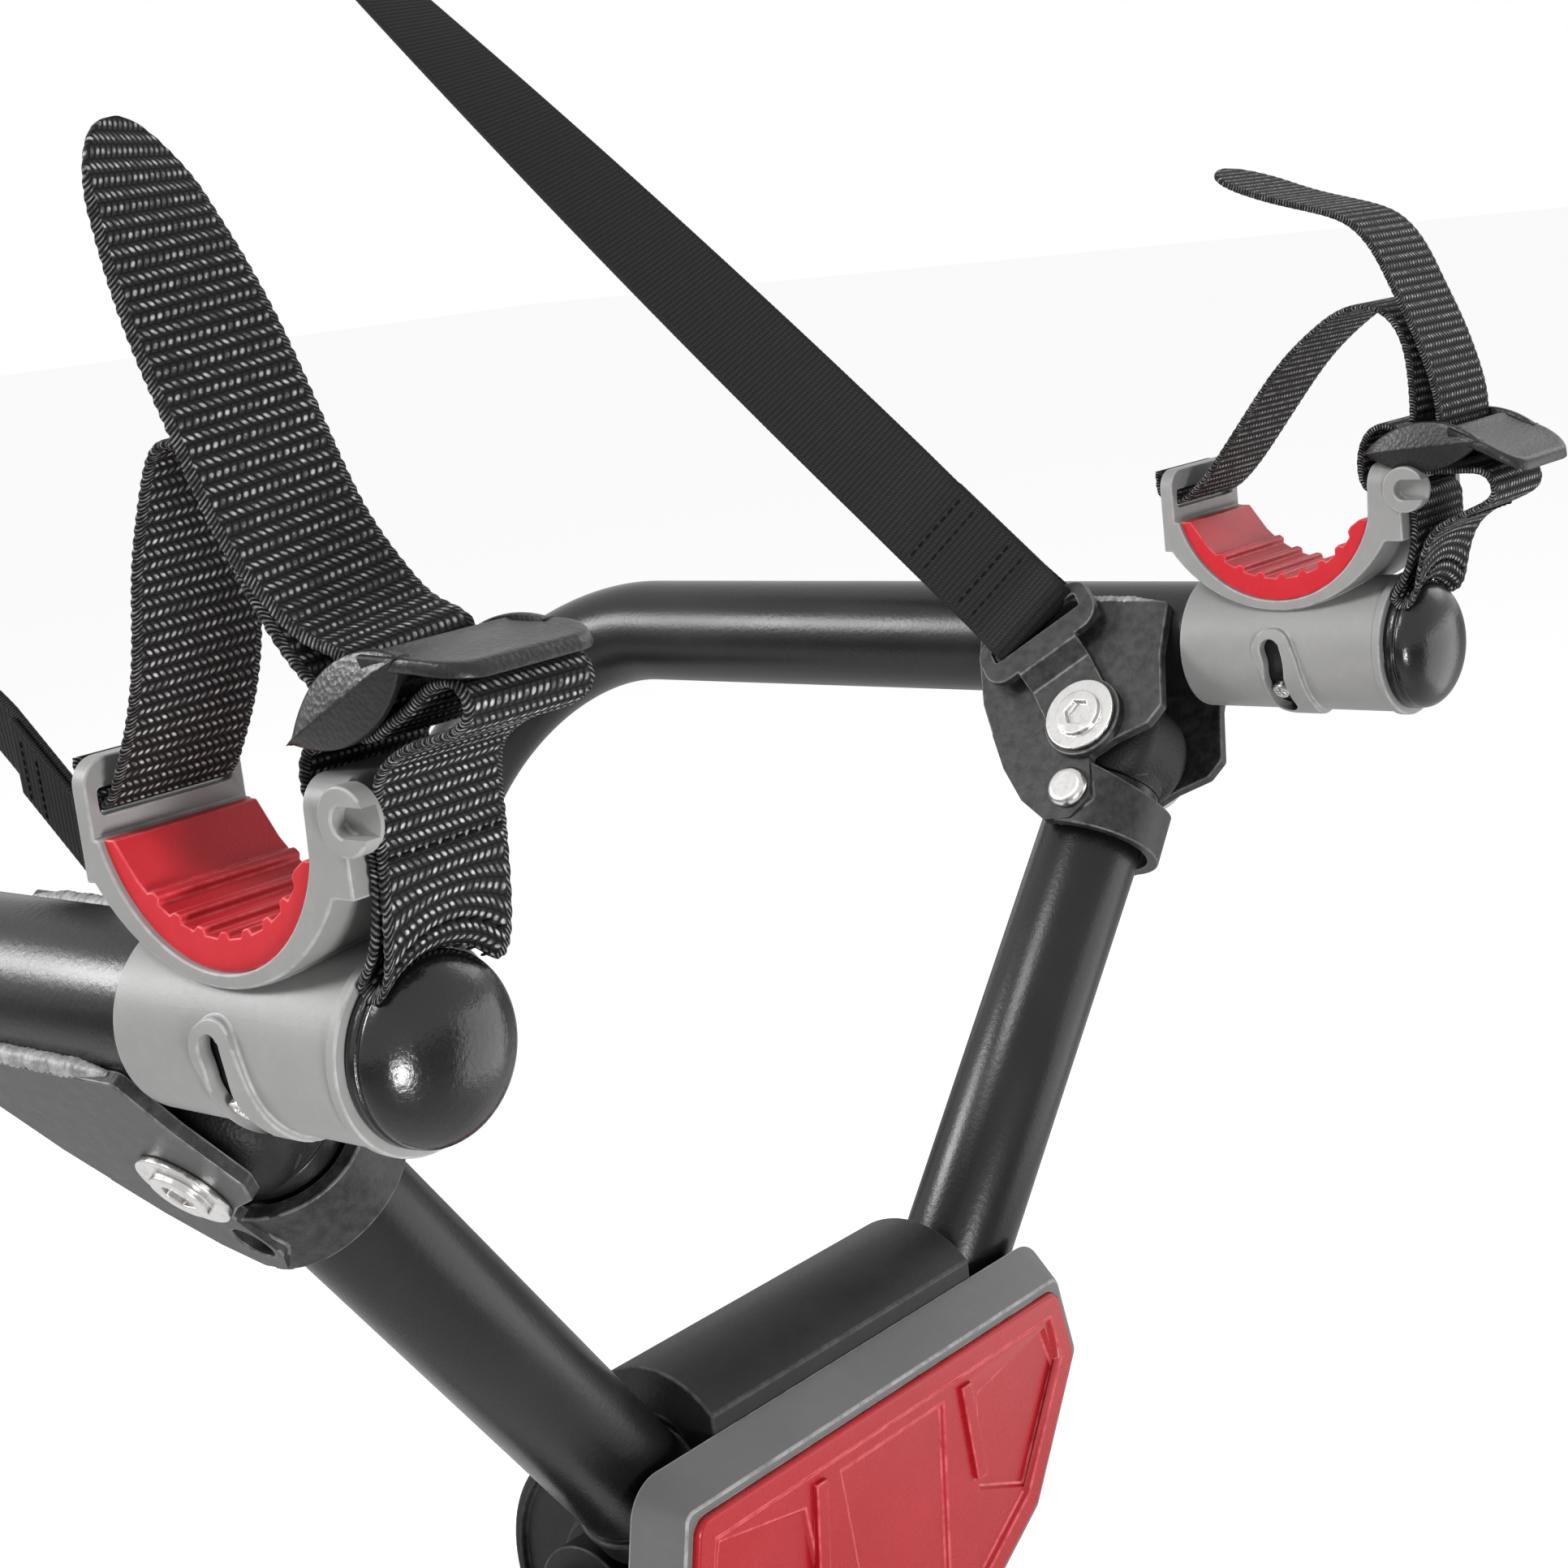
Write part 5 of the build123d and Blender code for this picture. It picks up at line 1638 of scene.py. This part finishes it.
    def cheek(
        self,
        points: list[Vector],
        faces: list[tuple[int, ...]],
        spot: Callable[[float, float, float], Vector],
        way: int,
    ) -> None:
        """Adds one lens shaped cheek, its outer face folded along a ridge.

        Args:
            points: The corners so far.
            faces: The faces so far.
            spot: Gives a point of the buckle from its place along, above and across.
            way: 1 for one cheek and -1 for the other.
        """
        near = self.cheek_near
        far = near + self.cheek_thick
        half, full = self.cheek_half, self.cheek_rise
        radius = (half**2 + full**2) / (2 * full)
        base = len(points)
        count = self.cheek_steps
        for i in range(count + 1):
            x = -half * math.cos(math.pi * i / count)
            rise = max(math.sqrt(radius**2 - x**2) - (radius - full), 0.25)
            share = min(1.0, rise / full)
            brow = far - 0.95 + 0.25 * (1 - share)
            ridge = far + 0.75 * share**0.6
            corner = min(0.55, rise * 0.4)
            upper = [
                (0.0, ridge),
                (min(0.4, rise * 0.12), ridge - 0.08),
                (rise - corner * 1.4, brow + 0.16),
                (rise - corner * 0.5, brow - 0.02),
                (rise - corner * 0.1, brow - 0.25),
                (rise, brow - 0.55),
                (rise, near + 0.4),
                (rise - min(0.3, rise * 0.3), near),
            ]
            section = [(-y, z) for y, z in reversed(upper[1:])] + upper
            for y, across in section:
                points.append(spot(x, y, across * way))
        ring = len(section)
        skin = quads(count + 1, ring, base) + lids(count + 1, ring, base)
        faces += skin if way > 0 else [tuple(reversed(face)) for face in skin]

    def thumb(
        self, points: list[Vector], faces: list[tuple[int, ...]], spot: Callable[[float, float, float], Vector]
    ) -> None:
        """Adds the thumb plate: a broad paddle with a rolled rim and a shallow dish.

        Args:
            points: The corners so far.
            faces: The faces so far.
            spot: Gives a point of the buckle from its place along, above and across.
        """
        start, length, corner, thick = self.thumb_from, self.thumb_length, self.thumb_corner, self.thumb_thick
        wide = self.cheek_near + self.cheek_thick
        outline: list[tuple[float, float]] = [(start - 1.2, -wide), (start + length - corner, -wide)]
        for k in range(1, 13):
            a = math.pi / 2 * k / 12
            outline.append((start + length - corner + corner * math.sin(a), -wide + corner - corner * math.cos(a)))
        outline += [(x, -z) for x, z in reversed(outline)]
        middle = (start + length * 0.45, 0.0)

        def level(x: float, lift: float) -> float:
            """Height of the paddle's slope at a distance, plus a lift."""
            share = (x - start) / length
            return self.thumb_top - (self.thumb_top + self.thumb_drop) * share * (0.75 + 0.25 * share) + lift

        base = len(points)
        layers = ((1.1, -thick + 0.5), (0.25, -thick), (0.0, -thick + 0.35), (0.0, -0.5), (0.18, -0.14), (0.55, 0.0))
        layers += ((1.1, 0.0), (1.8, -0.22), (4.6, -0.5), (8.0, -0.6))
        for inset, lift in layers:
            for x, z in outline:
                gap = math.hypot(x - middle[0], z - middle[1])
                share = max(0.0, 1 - inset / gap * 1.25)
                px, pz = middle[0] + (x - middle[0]) * share, middle[1] + (z - middle[1]) * share
                points.append(spot(px, level(px, lift), pz))
        count = len(outline)
        for i in range(len(layers) - 1):
            for k in range(count):
                one, two = base + i * count + k, base + i * count + (k + 1) % count
                faces.append((one, one + count, two + count, two))
        faces.append(tuple(base + k for k in range(count)))
        last = base + (len(layers) - 1) * count
        faces.append(tuple(last + k for k in range(count - 1, -1, -1)))


# The webbing's ways beside a carrier, as places behind and above its axis. SWAY_LEFT has
# shares of the length, with the shift back, the shift across and the turn in degrees.
STRAP_START = [(10.9, 43), (10.9, 41), (11.3, 37.8), (13.2, 35.9), (16.8, 35.9)]
ARCH_LEFT = [(20.4, 39.6), (25.5, 47.5), (30.6, 58.5), (35, 72.8), (40.6, 84.2), (47, 90.8), (53, 90.6)]
ARCH_LEFT += [(57.8, 85.6), (62, 77), (67.5, 67.2), (73.4, 57.6)]
TAIL_LEFT = [(80.6, 60.8), (76.4, 63.2), (71.4, 68.4), (67.2, 76), (64.2, 85.5), (61, 97), (57, 110.5)]
TAIL_LEFT += [(50.5, 136)]
ARCH_RIGHT = [(21.2, 38.6), (29.5, 47.3), (38.3, 57.8), (47, 67.2), (56, 74.2), (65, 78.3), (72, 77.4)]
ARCH_RIGHT += [(76.6, 72.2), (78.4, 64), (78.5, 54)]
TAIL_RIGHT = [(84.8, 51.5), (84.6, 57), (82.8, 64.5), (79.6, 73.5), (75.8, 82), (71.4, 91), (66, 97), (58, 100.5)]
TAIL_RIGHT += [(46.4, 103.9), (27.9, 111.4)]
BAR_TURN = [(-2.75, 0), (-1.945, -1.945), (0, -2.75), (1.945, -1.945), (2.75, 0)]
ANCHOR_LOW = [(72.1, 36.5), (74.8, 36.3), (76.8, 35), (77.2, 32), (77.1, 28), (75.7, 23.8), (72.4, 19.4)]
ANCHOR_LOW += [(71.1, 17.4), (72.2, 15.9), (74.4, 15.9), (76.5, 18.4)]
SWAY_LEFT = [(0, 0, 0, 0), (0.12, 0, 0, 0), (0.3, -1, -1, -4), (0.4, -3, -2, -4), (0.5, -4, -2.5, 0)]
SWAY_LEFT += [(0.6, -1, -0.5, 2), (0.74, -6, -4, 8), (0.87, -7.5, -6.3, 6), (1, -8.5, -9.5, -24)]
ANCHOR_LEFT = [(78.3, 24), (79.1, 30), (79.6, 37.5), (81, 43), (85, 46.3), (92, 48.8), (98.2, 50.6), (100.9, 53.4)]
ANCHOR_LEFT += [(99.6, 56.4), (95.6, 56.9), (90, 53.8), (84, 50.5)]
ANCHOR_LEFT_WRAP = [(-3.2, -4.9), (-5.1, -2.6), (-5.6, 0), (-6.5, 2.1), (-8.6, 3), (-10.7, 2.1), (-11.6, 0)]
ANCHOR_LEFT_END = [(66.4, 46.2), (65, 42), (65.7, 38.4), (68, 36.7), (71.7, 36.5)]
ANCHOR_RIGHT = [(78.1, 22.6), (80.9, 26.8), (85.4, 29.7), (92.6, 32.7), (96.8, 36), (95.6, 39.8), (90, 41.2)]
ANCHOR_RIGHT += [(84, 41.2), (79.6, 41.6), (76.6, 44), (75.7, 47), (74.8, 49.8), (71.6, 51.6), (67.6, 50.3)]
ANCHOR_RIGHT += [(65.3, 46.6), (64.7, 41.8), (65.9, 38), (68.4, 36.6), (71.7, 36.5)]


def left_cradle() -> Cradle:
    """Lays out the cradle of the left carrier with the way its webbing is threaded.

    Returns:
        The cradle.
    """
    seat = Seat(79.5, 54.5, 27.0)
    turn = [seat.at(x, y) for x, y in BAR_TURN]
    wrap = [seat.at(x, y) for x, y in ANCHOR_LEFT_WRAP]
    anchor = ANCHOR_LOW + ANCHOR_LEFT + wrap + ANCHOR_LEFT_END
    return Cradle(Side.LEFT, seat, STRAP_START + ARCH_LEFT + turn + TAIL_LEFT, anchor, SWAY_LEFT)


def right_cradle() -> Cradle:
    """Lays out the cradle of the right carrier with the way its webbing is threaded.

    Returns:
        The cradle.
    """
    seat = Seat(81.5, 47.0, 4.0)
    turn = [seat.at(x, y) for x, y in BAR_TURN]
    return Cradle(Side.RIGHT, seat, STRAP_START + ARCH_RIGHT + turn + TAIL_RIGHT, ANCHOR_LOW + ANCHOR_RIGHT)


@dataclass
class TopStrap:
    """One strap up to the edge of the hatch, with its plate and hook."""

    side: Side
    start: tuple[float, float, float] = (135.234, -225.618, 110.17)
    rise: tuple[float, float, float] = (0.0, 0.751, 0.66)
    plate_back: float = 0.752
    plate_up: float = 0.659
    length: float = 322.0
    sewn: float = 40.0
    loop: float = 3.2
    pinch: float = 8.0
    apart: float = 0.75
    step: float = 0.5
    fade: float = 16.0
    sewn_rows: tuple[float, ...] = (12.0, 17.0, 30.0, 35.0)
    stitch_lift: float = 1.42

    def build(self, shop: Workshop) -> None:
        """Makes the strap's pieces.

        Args:
            shop: The workshop.
        """
        word = self.side.word
        shop.finish(f"strap_plate_{word}", PLATE_COAT, 0.35, 3)
        shop.finish(f"top_hook_{word}", HOOK_COAT, 0.6, 3)
        band = Band(row=1.5, yarn=0.6, rise=0.05, lean=(1.0, 1.0), wobble=0.1, cells=20, thick=1.35)
        middle, across, off = self.line()
        shop.deliver(
            band.lay(shop, f"top_strap_{word}_webbing", middle, across, off), FINE_WEAVE, f"top_strap_{word}"
        )
        shop.add(self.seams(shop), FINE_WEAVE, f"top_strap_{word}")

    def station(self, far: float) -> tuple[Vector, Vector, Vector]:
        """Finds the strap's lie.

        Args:
            far: The distance from the plate.

        Returns:
            The strap's middle there, the way across it and the way off its face.
        """
        rise = Vector(self.rise).normalized()
        plate = FORWARD * -self.plate_back - DOWN_ARM * self.plate_up
        first = (plate - rise * plate.dot(rise)).normalized()
        twist = math.acos(first.x)
        share = min(max((far - self.sewn) / (self.length - 2 * self.sewn), 0.0), 1.0)
        across = (first * math.sin((1 - share) * twist) + ACROSS * math.sin(share * twist)).normalized()
        return Vector(self.start) + rise * far, across, across.cross(rise)

    def spread(self, far: float) -> float:
        """How far a strand lies from the strap's middle plane.

        Args:
            far: The distance from the plate.

        Returns:
            The distance in millimetres.
        """
        end = min(far, self.length - far)
        if end < self.pinch:
            share = end / self.pinch
            return self.apart + (self.loop - self.apart) * (1 - share * share * (3 - 2 * share))
        if end > self.sewn:
            share = min(1.0, (end - self.sewn) / self.fade)
            return self.apart * (1 - share * share * (3 - 2 * share))
        return self.apart

    def line(self) -> tuple[list[Vector], list[Vector], list[Vector]]:
        """Follows the webbing's whole way: under the plate's bar, up, round the hook's bar and back.

        Returns:
            Its middle points, the ways across it and the ways off its face.
        """
        spots: list[tuple[Vector, Vector, Vector]] = []

        def strand(begin: float, end: float, way: int) -> None:
            """Adds a straight strand on one side of the middle plane.

            Args:
                begin: Where it begins, from the plate.
                end: Where it ends.
                way: 1 or -1 for the side.
            """
            count = max(2, round(abs(end - begin) / self.step))
            for k in range(count + 1):
                far = begin + (end - begin) * k / count
                middle, across, off = self.station(far)
                spots.append((middle + off * self.spread(far) * way, across, off * way))

        def turn(far: float, way: int) -> None:
            """Adds a half turn round a bar.

            Args:
                far: The bar's distance from the plate.
                way: 1 at the plate and -1 at the hook.
            """
            middle, across, off = self.station(far)
            rise = off.cross(across).normalized()
            for k in range(1, 20):
                a = math.pi * k / 20
                out = off * (-way * math.cos(a)) + rise * (-way * math.sin(a))
                spots.append((middle + out * self.loop, across, out))

        strand(self.sewn - 1.5, 0.0, -1)
        turn(0.0, 1)
        strand(0.0, self.length, 1)
        turn(self.length, -1)
        strand(self.length, self.length - self.sewn + 1.5, -1)
        flat = [tuple(self.side.turn(v) for v in spot) for spot in spots]
        return [s[0] for s in flat], [s[1] for s in flat], [s[2] for s in flat]

    def seams(self, shop: Workshop) -> bpy.types.Object:
        """Sews rows across both sewn ends, on both faces.

        Args:
            shop: The workshop.

        Returns:
            The stitches.
        """
        rows: list[tuple[Vector, Vector, Vector]] = []
        for near in self.sewn_rows:
            for far in (near, self.length - near):
                middle, across, off = self.station(far)
                for way in (1, -1):
                    spot = middle + off * (self.stitch_lift * way)
                    rows.append((self.side.turn(spot), self.side.turn(across), self.side.turn(off * way)))
        return Stitches().sew(shop, f"top_strap_{self.side.word}_stitches", rows)


@dataclass
class LowerFrame:
    """The lower legs on their axle."""

    root: tuple[float, float, float] = (64.0, -230.0, -61.315)
    way: tuple[float, float, float] = (0.167, 0.48, -0.861)
    near: float = 22.0
    far: float = 278.0
    pad_from: float = 190.0

    def build(self, shop: Workshop) -> None:
        """Makes the axle, the lugs and both legs.

        Args:
            shop: The workshop.
        """
        shop.finish("hinge_axle", ZINC, 0.3)
        for side in Side:
            way = side.turn(Vector(self.way).normalized())
            start = side.turn(Vector(self.root))
            word = side.word
            rest = (FORWARD - way * way.y).normalized()
            line = [start + way * self.near, start + way * (self.near + 1), start + way * self.far]
            tube = shop.run(f"lower_leg_{word}_tube", line, lambda i, a: ARM_R, 96)
            shop.deliver(tube, TUBE_COAT, f"lower_leg_{word}")
            pad = FoamPad().make(shop, f"lower_pad_{word}_foam", start + way * self.pad_from, way, rest)
            shop.deliver(pad, FOAM, f"lower_pad_{word}")
            shop.finish(f"lower_lug_{word}", HUB_PLASTIC, 0.5, 3)
            shop.finish(f"lower_plug_{word}", CAP_PLASTIC, 0.3)


@dataclass(frozen=True)
class Lamp:
    """One soft lamp, with its places in metres."""

    name: str
    place: tuple[float, float, float]
    aim: tuple[float, float, float]
    size: tuple[float, float]
    watts: float

    def hang(self) -> None:
        """Hangs the lamp, out of the camera's sight."""
        data = bpy.data.lights.new(self.name, "AREA")
        data.shape = "RECTANGLE"
        data.size, data.size_y = self.size
        data.energy = self.watts
        made = bpy.data.objects.new(self.name, data)
        made.visible_camera = False
        made.location = self.place
        way = Vector(self.aim) - Vector(self.place)
        made.rotation_euler = way.to_track_quat("-Z", "Y").to_euler()
        bpy.context.scene.collection.objects.link(made)


@dataclass
class Studio:
    """Pale floor, soft lamps and the camera."""

    eye: tuple[float, float, float] = (-0.40124, -0.60877, 0.21341)
    right: tuple[float, float, float] = (0.6376009, -0.7624776, -0.1099681)
    down: tuple[float, float, float] = (-0.2275277, -0.0500072, -0.9724867)
    ahead: tuple[float, float, float] = (0.7360002, 0.6450792, -0.2053694)
    lens: float = 61.37
    floor_drop: float = 0.0005
    floor_reach: float = 18.0
    floor_grey: float = 0.86
    ambient: float = 0.34
    glow: float = 0.66
    lamps: tuple[Lamp, ...] = (
        Lamp("tube softbox", (-0.69, 0.7, 0.64), (0.156, -0.143, 0.1), (0.4, 0.35), 10.5),
        Lamp("arm softbox", (-0.68, -0.09, 1.05), (0.1, -0.24, 0.03), (0.36, 0.36), 7.0),
        Lamp("cap softbox", (-0.3, -0.69, -0.01), (-0.156, -0.33, 0.1), (0.11, 0.1), 1.7),
        Lamp("low softbox", (0.5, -0.75, -0.1), (-0.1, -0.24, 0.02), (0.6, 0.5), 2.0),
        Lamp("side softbox", (1.1, -0.6, 0.7), (0.05, -0.25, 0.05), (0.6, 0.6), 2.4),
    )

    def build(self, shop: Workshop) -> None:
        """Sets up the view, the light and the floor.

        Args:
            shop: The workshop.
        """
        self.camera()
        self.sky()
        for lamp in self.lamps:
            lamp.hang()
        self.floor(shop)
        bpy.context.scene.view_settings.view_transform = "Standard"
        LOG.info("studio set up with %d lamps", len(self.lamps))

    def camera(self) -> None:
        """Makes the camera at the photograph's angle."""
        data = bpy.data.cameras.new("camera")
        data.lens = self.lens
        data.sensor_width = 36.0
        data.clip_start = 0.02
        data.clip_end = 60.0
        made = bpy.data.objects.new("camera", data)
        axes = (Vector(self.right), -Vector(self.down), -Vector(self.ahead))
        turn = Matrix([axes[0], axes[1], axes[2]]).transposed()
        made.matrix_world = Matrix.Translation(Vector(self.eye)) @ turn.to_4x4()
        bpy.context.scene.collection.objects.link(made)
        bpy.context.scene.camera = made

    def sky(self) -> None:
        """Makes a white surround that lights the object gently."""
        world = bpy.data.worlds.new("studio")
        bpy.context.scene.world = world
        bench = Bench(world)
        rays = bench.node("LightPath").outputs
        straight, mirrored, through = (
            Wire(bench, rays[name]) for name in ("Is Camera Ray", "Is Glossy Ray", "Is Transmission Ray")
        )
        seen = bench.maths("MAXIMUM", straight, bench.maths("MAXIMUM", mirrored, through))
        strength = self.ambient + seen * (1.0 - self.ambient)
        back = bench.node("Background", None, {"Color": grey(1.0), "Strength": strength})
        bench.node("OutputWorld", None, {0: Wire(bench, back.outputs[0])})

    def floor(self, shop: Workshop) -> None:
        """Lays the pale floor just below the lowest point.

        Args:
            shop: The workshop.
        """
        level = (min(corner[2] for corner in shop.box) - self.floor_drop) / MM
        reach = self.floor_reach / MM
        corners = [(x * reach, y * reach, level) for x, y in ((-1, -1), (1, -1), (1, 1), (-1, 1))]
        plane = shop.mesh("floor", corners, [(0, 1, 2, 3)])
        bench = Bench(bpy.data.materials.new("pale floor"))
        seen = Wire(bench, bench.node("LightPath").outputs["Is Camera Ray"])
        paint = Wire(bench, bench.node("BsdfDiffuse", None, {"Color": grey(self.floor_grey)}).outputs[0])
        glow = Wire(bench, bench.node("Emission", None, {"Color": grey(1.0), "Strength": self.glow}).outputs[0])
        lit = Wire(bench, bench.node("AddShader", None, {0: paint, 1: glow}).outputs[0])
        both = bench.node("MixShader", None, {0: seen, 1: paint, 2: lit})
        bench.node("OutputMaterial", None, {0: Wire(bench, both.outputs[0])})
        plane.data.materials.append(bench.owner)
        plane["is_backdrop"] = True


def main() -> None:
    """Builds the rack piece by piece, then the studio."""
    logging.basicConfig(level=logging.INFO, format="%(name)s: %(message)s")
    shop = Workshop()
    MainFrame().build(shop)
    for side in Side:
        Carrier(side).build(shop)
    left_cradle().build(shop)
    right_cradle().build(shop)
    for side in Side:
        TopStrap(side).build(shop)
    LowerFrame().build(shop)
    Studio().build(shop)
    shop.keep_sizes()


if __name__ == "__main__":
    main()
